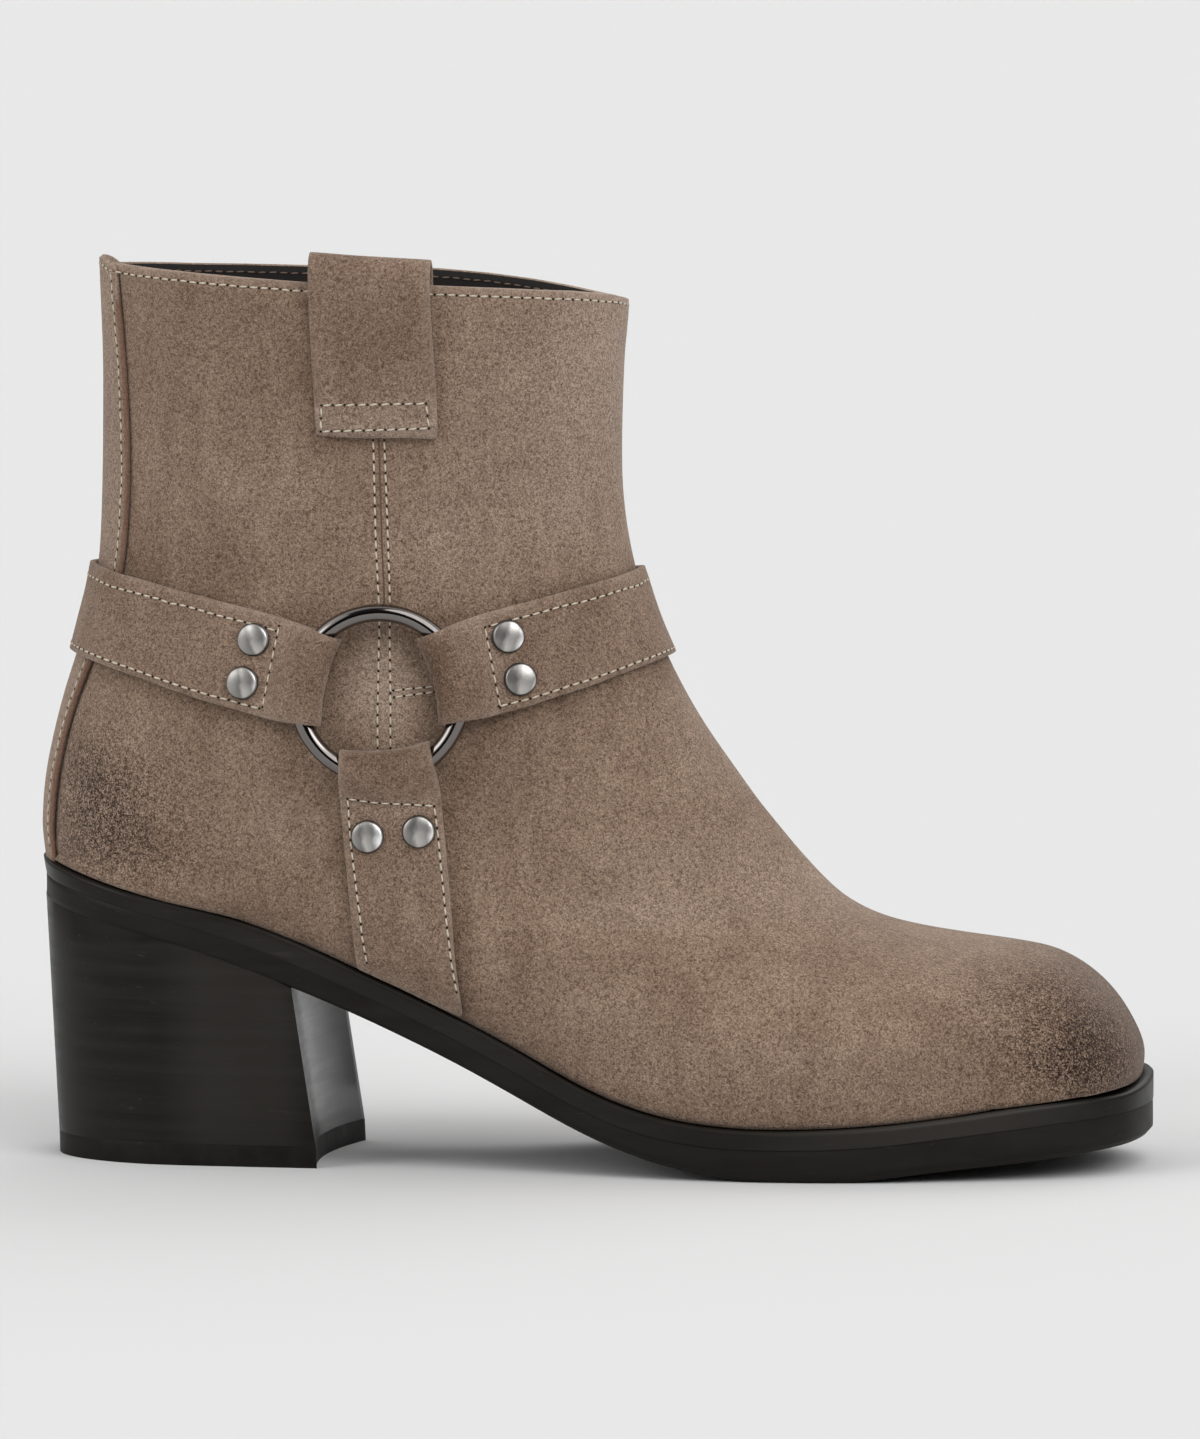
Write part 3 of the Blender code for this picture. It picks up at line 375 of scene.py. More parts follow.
def satin_material(name, base):
    """Satin nickel: a painted reflection of a bright streak down each dome and a dull side, a painted
    shadow round its rim, and fine turning marks.
    """
    made, nodes, shader, place = new_material(name, 0.3, 0.8)
    across = nodes.field("spin_across")
    flat = nodes.add("CombineXYZ", {"X": across, "Y": nodes.field("spin_up")})
    reach = nodes.add("VectorMath", {0: flat}, out="Value", operation="LENGTH")
    drift = nodes.spread(nodes.noise(place, 60.0, 1.0), 1.2)
    bent = nodes.spread(nodes.noise(flat, 1.6, 2.0), 0.5)
    shifted = nodes.math("ADD", nodes.math("ADD", across, drift), bent)
    skin = nodes.add("ValToRGB", {"Fac": nodes.scaled(shifted, -1.0, 1.0)})
    ramp = skin.node.color_ramp
    for at, share in NICKEL_PAINTED_STREAK:
        stop = ramp.elements.new(at) if 0.0 < at < 1.0 else ramp.elements[int(at)]
        stop.color = (*[min(value, 1.0) for value in times(base, share)], 1.0)
    turns = nodes.noise(nodes.add("CombineXYZ", {"X": reach}), 40.0, 2.0, 0.6)
    nodes.feed(shader, {
        # The outer rim is darkened: a painted shadow where the rivet sits in the suede.
        "Base Color": nodes.mix(nodes.scaled(reach, 0.88, 0.97), skin, times(base, 0.12)),
        "Roughness": nodes.scaled(turns, 0.3, 0.7, 0.26, 0.38),
        "Normal": nodes.bump(turns, 0.00004, 0.2)})
    return made


def plain_grain(name, base, roughness, scale, depth=0.0001):
    """A fine grain in one colour: thread, lining and insole."""
    made, nodes, shader, place = new_material(name, roughness)
    grain = nodes.noise(place, scale, 3.0, 0.6)
    nodes.feed(shader, {
        "Base Color": nodes.mix(nodes.scaled(grain, 0.3, 0.7), times(base, 0.78), times(base, 1.12)),
        "Specular IOR Level": 0.2, "Normal": nodes.bump(grain, depth, 0.5)})
    return made


LOOKS = {}


def make_looks():
    """All materials of the boot, from the colours in the panel."""
    colours = bpy.context.scene.boot_colours
    nap, scuff = nap_group(), scuff_group()
    pale, sole = list(colours.pale), list(colours.sole)
    for look, base, share, clouds, *edge in (
            ("upper", colours.suede, 1.0, 0.75, pale), ("strap", colours.strap, 1.0, 0.55, pale),
            ("stay", colours.suede, 1.0, 0.5, list(colours.cut), (0.6, 0.9)),
            ("loop", colours.strap, 0.97, 0.9, pale)):
        LOOKS[look] = suede_material(look + "_suede", nap, times(base, share), colours, clouds, *edge)
    for look, name, base, *grain in (
            ("lining", "lining_leather", colours.lining, 0.8, 1500.0, 0.00008),
            ("insole", "insole_sock", colours.insole, 0.7, 1200.0),
            ("thread", "thread_cream", colours.thread, 0.75, 2600.0),
            ("dark_thread", "thread_dark", colours.dark_thread, 0.6, 2600.0),
            # Needle holes and the seam groove are dark discs and a dark strip: painted shade.
            ("hole", "needle_hole", srgb(44, 33, 27), 0.95, 2600.0),
            ("groove", "seam_groove", srgb(98, 78, 64), 0.95, 2600.0)):
        LOOKS[look] = plain_grain(name, base, *grain)
    for look, name, roughness, stretch, coat, marked in (
            ("welt", "welt_black", 0.40, (0.12, 0.5, 1.0), 0.05, 0.005),
            ("outsole", "outsole_black", 0.48, (0.1, 0.4, 1.0), 0.0, 0.005),
            ("heel", "heel_lacquer", 0.38, (0.05, 0.15, 1.6), 0.05, 0.007),
            ("heel_tip", "heel_tip_rubber", 0.5, (1, 1, 1), 0.0, 0.005)):
        LOOKS[look] = black_material(name, scuff, sole, roughness, stretch, coat, marked)
    LOOKS["ring"] = metal_material("ring_steel", scuff, list(colours.ring), 0.07)
    LOOKS["rivet"] = satin_material("rivet_nickel", list(colours.rivet))


# Steps of subdivision, and the angles in degrees above which an edge stays sharp.
LEVELS = 2
SUEDE_SHARP = 50
SOLE_SHARP = 38


def only(thing):
    """Makes one object the active and only selected one."""
    bpy.ops.object.select_all(action="DESELECT")
    thing.select_set(True)
    bpy.context.view_layer.objects.active = thing


def applied(thing, kind, **settings):
    """Adds a modifier with its settings and applies it."""
    only(thing)
    modifier = thing.modifiers.new(kind.title(), kind)
    for name, value in settings.items():
        setattr(modifier, name, value)
    bpy.ops.object.modifier_apply(modifier=modifier.name)


def fresh_copy(node, family, look):
    """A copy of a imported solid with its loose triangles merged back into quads."""
    name = family + "_" + node
    piece = bpy.data.objects.new(name, frame["nodes"][node].data.copy())
    piece.data.name = name
    bpy.context.scene.collection.objects.link(piece)
    piece.data.materials.clear()
    piece.data.materials.append(LOOKS[look])
    only(piece)
    bpy.ops.mesh.customdata_custom_splitnormals_clear()
    bpy.ops.object.mode_set(mode="EDIT")
    bpy.ops.mesh.select_all(action="SELECT")
    bpy.ops.mesh.remove_doubles(threshold=0.00001)
    bpy.ops.mesh.tris_convert_to_quads(
        face_threshold=math.pi, shape_threshold=math.pi, topology_influence=1.0)
    bpy.ops.object.mode_set(mode="OBJECT")
    return piece


def smooth_form(piece, degrees, crease):
    """Subdivides a piece, holds its sharp edges and marks them as cut for the material."""
    only(piece)
    bpy.ops.object.mode_set(mode="EDIT")
    bpy.ops.mesh.select_mode(type="EDGE")
    bpy.ops.mesh.select_all(action="DESELECT")
    bpy.ops.mesh.edges_select_sharp(sharpness=math.radians(degrees))
    bpy.ops.object.mode_set(mode="OBJECT")
    mesh = piece.data
    hold = mesh.attributes.new("crease_edge", "FLOAT", "EDGE")
    cut = mesh.attributes.new("cut_edge", "FLOAT", "POINT")
    for edge in mesh.edges:
        if edge.select:
            hold.data[edge.index].value = crease
            for corner in edge.vertices:
                cut.data[corner].value = 1.0
    applied(piece, "SUBSURF", levels=LEVELS, render_levels=LEVELS)
    mesh.shade_smooth()


def finished(piece, slot, *nodes, body="boot"):
    """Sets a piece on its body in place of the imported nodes."""
    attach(piece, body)
    if nodes:
        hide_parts(*nodes)


def points_of(piece):
    """Points and outward normals of a mesh as arrays."""
    return (np.array([point.co for point in piece.data.vertices]),
            np.array([normal.vector for normal in piece.data.vertex_normals]))


def put_points(piece, places):
    piece.data.vertices.foreach_set("co", places.ravel())
    piece.data.update()


def put_field(piece, name, values):
    """Writes a value for each point where the material reads it."""
    field = piece.data.attributes.new(name, "FLOAT", "POINT")
    field.data.foreach_set("value", values.astype(np.float32))


def rise(values, start, end):
    """A soft step from 0 at the start to 1 at the end, upwards or downwards."""
    share = np.clip((values - start) / (end - start), 0.0, 1.0)
    return share * share * (3 - 2 * share)


def bell(values, middle, reach):
    """A soft bump of 1 at the middle."""
    return np.exp(-((values - middle) / reach) ** 2)


def waved(piece, depth, reach):
    """Small slow waves that keep a strap from lying too flat."""
    places, normals = points_of(piece)
    wave = [noise.noise(Vector(place) / reach) for place in places]
    put_points(piece, places + normals * (np.array(wave) * depth)[:, None])


def surface_of(*pieces):
    """A search tree over the faces of some pieces."""
    points, faces = [], []
    for piece in pieces:
        start = len(points)
        points += [v.co for v in piece.data.vertices]
        faces += [[start + i for i in face.vertices] for face in piece.data.polygons]
    return BVHTree.FromPolygons(points, faces)


def is_outside(point, normal):
    """Whether a face of the upper looks away from the boot's middle line, or lies across to it."""
    steps_off = []
    for first, second in zip(MIDDLE_LINE, MIDDLE_LINE[1:]):
        a, b = Vector(first) * MM, Vector(second) * MM
        share = min(max((point - a).dot(b - a) / (b - a).length_squared, 0.0), 1.0)
        steps_off.append(point - a.lerp(b, share))
    away = min(steps_off, key=lambda step: step.length)
    return away.normalized().dot(normal) > -0.15


def fold_depth(places, normals, outside):
    """How far each point of the upper sinks in its soft folds."""
    x, _, z = (places / MM).T
    sink = np.zeros(len(places))
    for x0, z0, x1, z1, width, depth, sides in FOLDS:
        run = np.array((x1 - x0, z1 - z0))
        along = ((x - x0) * run[0] + (z - z0) * run[1]) / (run @ run)
        off = ((x - x0) * run[1] - (z - z0) * run[0]) / np.linalg.norm(run)
        off += 2.5 * np.sin(along * 4.0)
        ends = rise(along, -0.35, 0.35) * rise(along, 1.35, 0.65)
        shape = bell(off, 0, width) - 0.45 * bell(np.abs(off), 1.6 * width, width)
        for side in sides:
            sink += depth * shape * ends * rise(normals[:, 1] * side * outside, 0, 0.625)
    return sink * MM


def spots_of(places, spots):
    """How much of some soft spots each point has, the same on both sides."""
    x, _, z = (places / MM).T
    return sum(amount * bell(x, at_x, reach_x) * bell(z, at_z, reach_z)
               for at_x, at_z, reach_x, reach_z, amount in spots)


# Painted shadow beside each strap: how dark below or in front of it, and above or behind it.
PAINTED_STRAP_SHADOW = {"heel_strap": (0.34, 0.24), "instep_strap": (0.34, 0.16), "down_strap_outer": (0.62, 0.02),
           "down_strap_inner": (0.62, 0.02), "pull_loop": (0.12, 0.06)}


def painted_shadow_of(places):
    """Painted shadow on the suede beside the straps and loop, and along the welt."""
    value = np.zeros(len(places))
    for name, (near, far) in PAINTED_STRAP_SHADOW.items():
        strap = surface_of(frame["nodes"][name])
        axis, way = (0, 1) if name.startswith("down") else (2, -1)
        for i, place in enumerate(places):
            spot, _, _, gap = strap.find_nearest(Vector(place), 12 * MM)
            if spot:
                share = near if (place[axis] - spot[axis]) * way > 0 else far
                value[i] = max(value[i], share * bell(gap, 0, 3.5 * MM))
    sole = surface_of(frame["nodes"]["welt"])
    for i, place in enumerate(places):
        gap = sole.find_nearest(Vector(place), 8 * MM)[3]
        if gap:
            value[i] += 0.25 * bell(gap, 0, 2.5 * MM)
    return value


# How far the suede reaches below its packed lower edge along the boot: x and drop in millimetres.
EDGE_DROP = ((-134, 0.8), (-100, 0.9), (-82, 0.1), (-60, 0.1), (-39, 0.3), (-15, 0.6), (16, 0.9),
             (40, 1.5), (64, 1.5), (88, 1.5), (112, 1.2), (124, 0.7), (134, 0.2))

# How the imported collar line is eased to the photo's, near and far side: x and rise in millimetres.
COLLAR_NEAR = ((-120, 0.3), (-111, 0.6), (-65, 0.5), (-36, 1.6), (-20, 1.7), (-4, 1.5), (4, 0.7),
               (10, -0.9), (14, -2.0))
COLLAR_FAR = ((-120, -0.4), (-113, -0.75), (-100, -0.85), (-71, -0.1), (-42, 1.1), (-30, 0.95),
              (-18, 0.4), (-10, -0.2), (-2, -0.9), (3, -1.2), (14, -2.0))


def edge_drop(places):
    return np.interp(places[:, 0] / MM, *zip(*EDGE_DROP)) * MM


def drawn_down(places):
    """Draws the upper's lower end down to the lowered edge of the sole."""
    step = 6 * MM
    bins = np.round(places[:, 0] / step).astype(int)
    knots = np.unique(bins)
    lowest = [places[bins == knot, 2].min() for knot in knots]
    above = places[:, 2] - np.interp(places[:, 0], knots * step, lowest)
    places[:, 2] -= edge_drop(places) * rise(above, 14 * MM, 0)


def eased_collar(places):
    """Raises and lowers the collar's edge, and rounds its front corner forward."""
    x, y, z = (places / MM).T
    near, far = (np.interp(x, *zip(*knots)) for knots in (COLLAR_NEAR, COLLAR_FAR))
    share = rise(y, -12, 12)
    places[:, 2] += (near * (1 - share) + far * share) * rise(z, 165, 207) * MM
    places[:, 0] += 1.1 * rise(x, 2, 12) * bell(z, 203, 8) * MM


# Width of the collar's suede edge in metres, and the height in millimetres above which it lies.
RIM = 0.0027
RIM_LOW = 190.0


class BOOT_OT_upper(bpy.types.Operator):
    """Upper: one hollow suede form with its lining, soft folds and rubbed spots"""

    bl_idname = "boot.upper"
    bl_label = "Upper"

    def execute(self, context):
        piece = fresh_copy("upper", "suede", "upper")
        piece.data.materials.append(LOOKS["lining"])
        for face in piece.data.polygons:
            face.material_index = 0 if is_outside(face.center, face.normal) else 1
        smooth_form(piece, SUEDE_SHARP, 0.85)
        inside = np.zeros(len(piece.data.vertices), bool)
        for face in piece.data.polygons:
            if face.material_index:
                inside[list(face.vertices)] = True
        places, normals = points_of(piece)
        way = np.where(inside, -1.0, 1.0)
        sink = fold_depth(places, normals, way) * context.scene.boot_sizes.folds
        places += normals * (np.where(inside, 0.0, 0.15 * MM) - sink * way)[:, None]
        drawn_down(places)
        eased_collar(places)
        put_points(piece, places)
        # The shade field: the suede's patchy tone with painted shade and painted light.
        shade = spots_of(places, SHADES) + painted_shadow_of(places)
        put_field(piece, "shade", np.clip(shade, -0.6, 0.95))
        put_field(piece, "rub", spots_of(places, RUBS))
        skin = surface_of(piece)
        for face in piece.data.polygons:
            x, y, z = face.center
            if z > RIM_LOW * MM and face.normal.z > 0.5:
                spot = around(skin, math.atan2(y, AXIS_X * MM - x), z / MM - 2.0)
                if math.hypot(x - spot.x, y - spot.y) > RIM:
                    face.material_index = 1
        finished(piece, "upper_suede", "upper")
        return {"FINISHED"}


# How dark each strap is where it folds round a ring: partly rubbed, partly painted shade.
STRAP_FOLD_RUB_AND_SHADE = {"heel_strap": 0.30, "instep_strap": 0.95, "down_strap_outer": 0.88,
              "down_strap_inner": 0.88}

# The back stay in millimetres: its inner side, its foot in the welt and its rounded, bare top.
STAY_GAIN, STAY_FACING = 0.5, -0.3
STAY_FOOT, STAY_SINK, STAY_TUCK = (79, 73), 3.5, 0.9
STAY_TOP, STAY_LIFT, STAY_ROUND, STAY_HALF = (198, 213), 0.6, 1.8, 12
# Its top loses its cut edges, and a negative shade paints the whole stay paler: painted light.
STAY_BARE, STAY_SHADE = (211, 205), -0.2

# The loop's outer leg in millimetres: its lean and the tilt of its sewn end.
LOOP_OUTER = 0.6
LOOP_LEAN, LEAN_SPAN = 1.5, (212, 172)
LOOP_TILT, LOOP_DROP, TILT_SPAN, TILT_END = 0.9, 0.3, (-62, -36), (184, 176)
# A darker spot in the loop's middle, and a paler band at its sewn end that is painted light.
LOOP_SHADES = ((-46, 193, 7, 6, 0.18), (0, 177, math.inf, 6, -0.30))


class BOOT_OT_straps(bpy.types.Operator):
    """Straps: the harness straps, the back stay and the pull loop"""

    bl_idname = "boot.straps"
    bl_label = "Straps"

    def execute(self, context):
        slack = context.scene.boot_sizes.slack
        for node, rubbed in STRAP_FOLD_RUB_AND_SHADE.items():
            strap = fresh_copy(node, "suede", "strap")
            smooth_form(strap, SUEDE_SHARP, 0.95)
            waved(strap, slack, 0.011)
            x, _, z = (points_of(strap)[0] / MM).T
            reach = np.hypot(x - AXIS_X, z - RING_Z)
            # A paler ridge behind each fold: a painted highlight.
            ridge_highlight = 0.18 * bell(reach, 27.5, 2.5)
            put_field(strap, "shade", rubbed * rise(reach, 25.0, 13.0) - ridge_highlight)
            finished(strap, "strap_suede", node)

        stay = fresh_copy("back_stay", "suede", "stay")
        smooth_form(stay, SUEDE_SHARP, 0.75)
        places, normals = points_of(stay)
        away = places[:, :2] - (AXIS_X * MM, 0.0)
        away /= np.linalg.norm(away, axis=1)[:, None]
        facing = np.einsum("ij,ij->i", normals[:, :2], away)
        places += normals * (np.where(facing < STAY_FACING, STAY_GAIN, 0.0) * MM)[:, None]
        _, y, z = (places / MM).T
        foot = rise(z, *STAY_FOOT)
        top = (STAY_ROUND * (y / STAY_HALF) ** 4 - STAY_LIFT) * rise(z, *STAY_TOP)
        places[:, 2] -= (STAY_SINK * foot + top) * MM
        places[:, :2] -= away * (STAY_TUCK * foot * MM)[:, None]
        eased_collar(places)
        put_points(stay, places)
        put_field(stay, "shade", np.full(len(places), STAY_SHADE))
        edge = stay.data.attributes["cut_edge"].data
        for i, share in enumerate(rise(z, *STAY_BARE)):
            edge[i].value *= float(share)
        finished(stay, "upper_suede", "back_stay")

        loop = fresh_copy("pull_loop", "suede", "loop")
        smooth_form(loop, SUEDE_SHARP, 0.8)
        waved(loop, slack, 0.014)
        places, _ = points_of(loop)
        put_field(loop, "shade", spots_of(places, LOOP_SHADES))
        outer = places[:, 1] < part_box("upper")[0].y * LOOP_OUTER
        x, _, z = (places / MM).T
        places[:, 0] += outer * LOOP_LEAN * rise(z, *LEAN_SPAN) * MM
        tilt = LOOP_TILT * rise(x, *TILT_SPAN) - LOOP_DROP
        places[:, 2] += outer * tilt * rise(z, *TILT_END) * MM
        put_points(loop, places)
        finished(loop, "strap_suede", "pull_loop")
        return {"FINISHED"}


SOLE_SLOTS = {"welt": "sole_rubber", "outsole": "sole_rubber",
              "heel": "heel_block", "heel_tip": "heel_tip_rubber"}

# How far each layer of the sole reaches up, down and out to its neighbours, in millimetres.
FLUSH = {"welt": (0.0, 0.55, 0.25), "outsole": (0.14, 0.0, 0.0), "heel": (0.9, 0.14, 0.12),
         "heel_tip": (0.14, 0.0, 0.0)}

# Welt and outsole in millimetres: lips behind the heel, rise of their seam and twist of the toe.
LIP, LIP_TOP, OUTSOLE_LIP, LIP_SPAN = 0.45, 1.1, 0.35, (-105, -125)
RISE, RISE_SPAN = 0.85, (15, 40)
TWIST, TWIST_SPAN, TWIST_MIDDLE, TWIST_HALF = 1.3, (112, 130), -4, 14


def laid_flush(piece, up, down, out):
    """Grows a layer of the sole to its neighbours, so that no groove shows between them."""
    places, normals = points_of(piece)
    ahead, across, high = normals.T
    top, bottom = high > 0.5, high < -0.5
    side = (np.abs(across) > 0.2) | (np.abs(ahead) > 0.2)
    grown = side & (top if up else bottom) & (ahead < (0.75 if down else 0.25))
    flat = normals[:, :2] / np.maximum(np.hypot(ahead, across), 1e-6)[:, None]
    if not up:
        grown = grown * (0.2 + 0.8 * rise(places[:, 0] / MM, -60, -30))
    places[:, :2] += flat * (grown * out * MM)[:, None]
    places[:, 2] += (top * up - bottom * down) * MM
    put_points(piece, places)


def upper_points(places):
    """Which points of a layer lie above the middle of its edge."""
    gaps = np.hypot(*(places[:, None, :2] - places[None, :, :2]).transpose(2, 0, 1))
    heights = np.where(gaps < 1.2 * MM, places[None, :, 2], np.nan)
    return places[:, 2] > (np.nanmin(heights, axis=1) + np.nanmax(heights, axis=1)) / 2


def bent_layer(piece, is_welt):
    """Raises the seam of welt and outsole, and shapes their lips and the welt's toe."""
    places, normals = points_of(piece)
    x, up = places[:, 0] / MM, normals[:, 2]
    high = upper_points(places)
    seam = ~high if is_welt else high
    places[:, 2] += seam * RISE * rise(x, *RISE_SPAN) * MM
    lip = np.where(up > 0.3, LIP_TOP, LIP) if is_welt else OUTSOLE_LIP
    proud = lip * rise(x, *LIP_SPAN) * (np.abs(up) < 0.95)
    places += normals * (1, 1, 0) * (proud * MM)[:, None]
    if is_welt:
        turn = np.clip((places[:, 1] / MM - TWIST_MIDDLE) / TWIST_HALF, -1, 1)
        twist = TWIST * rise(x, *TWIST_SPAN) * turn
        places[:, 2] += high * (twist * MM - edge_drop(places))
    put_points(piece, places)


class BOOT_OT_sole(bpy.types.Operator):
    """Sole: welt, outsole, heel block and heel tip with eased edges"""

    bl_idname = "boot.sole"
    bl_label = "Sole"

    def execute(self, context):
        for node, slot in SOLE_SLOTS.items():
            piece = fresh_copy(node, "black", node)
            laid_flush(piece, *FLUSH[node])
            if slot == "sole_rubber":
                bent_layer(piece, node == "welt")
            smooth_form(piece, SOLE_SHARP, 1.0)
            if slot != "sole_rubber":
                applied(piece, "BEVEL", width=0.25 * MM, segments=2, limit_method="ANGLE",
                        angle_limit=math.radians(SOLE_SHARP))
                bpy.ops.object.shade_smooth_by_angle(angle=math.radians(50))
            places, normals = points_of(piece)
            x = places[:, 0] / MM
            if node == "heel":
                put_field(piece, "gloss", 0.5 * rise(normals[:, 0], 0.5, 0.8))
                # A soft pale band down the heel's flanks: a painted reflection.
                flank_highlight = 0.44 * rise(np.abs(normals[:, 1]), 0.4, 0.7)
                put_field(piece, "dust_and_sheen", flank_highlight * rise(x, -104, -90) * rise(x, -64, -74))
            if node == "welt":
                # Grey dust on the welt's toe, brighter on its top as a painted highlight, and greyer
                # patches at the waist.
                toe = rise(x, 20, 90) * (1 - 0.9 * rise(x, 95, 125))
                dust_and_sheen = 0.6 * toe * (1 + 0.6 * (normals[:, 2] > 0.3))
                put_field(piece, "dust_and_sheen", dust_and_sheen + 0.3 * bell(x, -70, 30) + 0.2 * bell(x, -15, 25))
            if node == "outsole":
                put_field(piece, "dust_and_sheen", np.full(len(places), 0.09))
            finished(piece, slot, node)
        insole = frame["nodes"]["insole"]
        insole.data.materials.clear()
        insole.data.materials.append(LOOKS["insole"])
        return {"FINISHED"}


UP = Vector((0, 0, 1))


class BOOT_OT_rings(bpy.types.Operator):
    """Rings: two round steel rings on their joints"""

    bl_idname = "boot.rings"
    bl_label = "Rings"

    def execute(self, context):
        for joint in frame["joints"]:
            body = joint["child"]
            low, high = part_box(body)
            turn = UP.rotation_difference(Vector(joint["axis"]))
            bpy.ops.mesh.primitive_torus_add(
                major_radius=RING_RADIUS * MM, minor_radius=RING_WIRE * MM,
                major_segments=96, minor_segments=20,
                location=(low + high) / 2, rotation=turn.to_euler())
            piece = context.object
            piece.name = "steel_" + body
            bpy.ops.object.transform_apply(location=True, rotation=True, scale=True)
            piece.data.materials.append(LOOKS["ring"])
            piece.data.shade_smooth()
            finished(piece, "ring_steel", body, body=body)
        return {"FINISHED"}


# A rivet in millimetres: its foot's radius, its sink, and each next ring's radius and rise.
RIVET_RADIUS, RIVET_SINK = 3.95, 0.3
RIVET_HEAD = ((3.92, 0.34), (3.70, 0.04), (3.72, 0.55), (3.52, 0.24), (3.3, 0.10), (2.7, 0.18),
              (1.9, 0.15), (1.0, 0.10), (0.35, 0.03))


class BOOT_OT_rivets(bpy.types.Operator):
    """Rivets: domed nickel heads with a fine rim"""

    bl_idname = "boot.rivets"
    bl_label = "Rivets"

    def execute(self, context):
        bpy.ops.mesh.primitive_circle_add(vertices=40, radius=RIVET_RADIUS * MM, fill_type="NGON")
        pattern = context.object
        bpy.ops.object.mode_set(mode="EDIT")
        radius = RIVET_RADIUS
        for new_radius, lift in RIVET_HEAD:
            bpy.ops.mesh.extrude_region_move(TRANSFORM_OT_translate={"value": (0, 0, lift * MM)})
            bpy.ops.transform.resize(value=(new_radius / radius, new_radius / radius, 1))
            radius = new_radius
        bpy.ops.mesh.select_all(action="SELECT")
        bpy.ops.mesh.normals_make_consistent(inside=False)
        bpy.ops.object.mode_set(mode="OBJECT")
        pattern.data.shade_smooth()
        pattern.data.materials.append(LOOKS["rivet"])
        spin = points_of(pattern)[0] / (RIVET_RADIUS * MM)
        put_field(pattern, "spin_across", spin[:, 0])
        put_field(pattern, "spin_up", spin[:, 1])
        for node in [name for name in frame["nodes"] if name.startswith("rivet_")]:
            places, _ = points_of(frame["nodes"][node])
            middle = places.mean(axis=0)
            flat = np.linalg.svd(places - middle)[2][2]
            flat *= np.sign(flat[1] * middle[1])
            low = ((places - middle) @ flat).min() - RIVET_SINK * MM
            turn = UP.rotation_difference(Vector(flat)).to_matrix().to_4x4()
            mesh = pattern.data.copy()
            mesh.transform(Matrix.Translation(Vector(middle + flat * low)) @ turn)
            piece = bpy.data.objects.new("nickel_" + node, mesh)
            context.scene.collection.objects.link(piece)
            finished(piece, "rivet_nickel", node)
        bpy.data.objects.remove(pattern)
        return {"FINISHED"}


# Rays start this far away, and sewn lines are laid from this far above, in metres.
FAR, ABOVE = 0.2, 0.003


def even_points(line, pitch):
    """Points at even steps along a line."""
    runs = np.cumsum([0.0] + [(b - a).length for a, b in zip(line, line[1:])])
    goals = np.linspace(0.0, runs[-1], max(2, round(runs[-1] / pitch)) + 1)
    return [Vector(spot) for spot in zip(*(np.interp(goals, runs, axis) for axis in zip(*line)))]


def beside(surface, x, z, side):
    """The point of a surface that shows from the side at x and z, in millimetres."""
    out = Vector((0, side, 0))
    return surface.ray_cast(Vector((x, 0, z)) * MM + out * FAR, -out)[0]


def side_line(surface, corners, side):
    """A run of corners, laid on a surface from the side."""
    flat = even_points([Vector((x, 0, z)) for x, z in corners], 1.0)
    spots = [beside(surface, point.x, point.z, side) for point in flat]
    return [spot for spot in spots if spot]


def outward(spot):
    """The way from the shaft's middle to a point, along the floor."""
    return Vector((spot.x - AXIS_X * MM, spot.y, 0)).normalized()


def around(surface, angle, z):
    """The outermost point of a surface at an angle about the shaft, 0 at the back."""
    out = Vector((-math.cos(angle), math.sin(angle), 0))
    return surface.ray_cast(Vector((AXIS_X, 0, z)) * MM + out * FAR, -out, FAR)[0]


def reach_of(cast, low, high, count):
    """First and last point that a cast finds between two limits."""
    found = [spot for spot in map(cast, np.linspace(low, high, count)) if spot]
    return (found[0], found[-1]) if found else None


def drawn_in(surface, edge, other, inset):
    """A line moved in from an edge towards the other edge, along the surface."""
    line = []
    for i, spot in enumerate(edge):
        forward = (edge[min(i + 2, len(edge) - 1)] - edge[max(i - 2, 0)]).normalized()
        step = other[i] - spot
        step -= forward * step.dot(forward)
        goal = spot + step.normalized() * inset + outward(spot) * ABOVE
        line.append(surface.find_nearest(goal)[0])
    return line


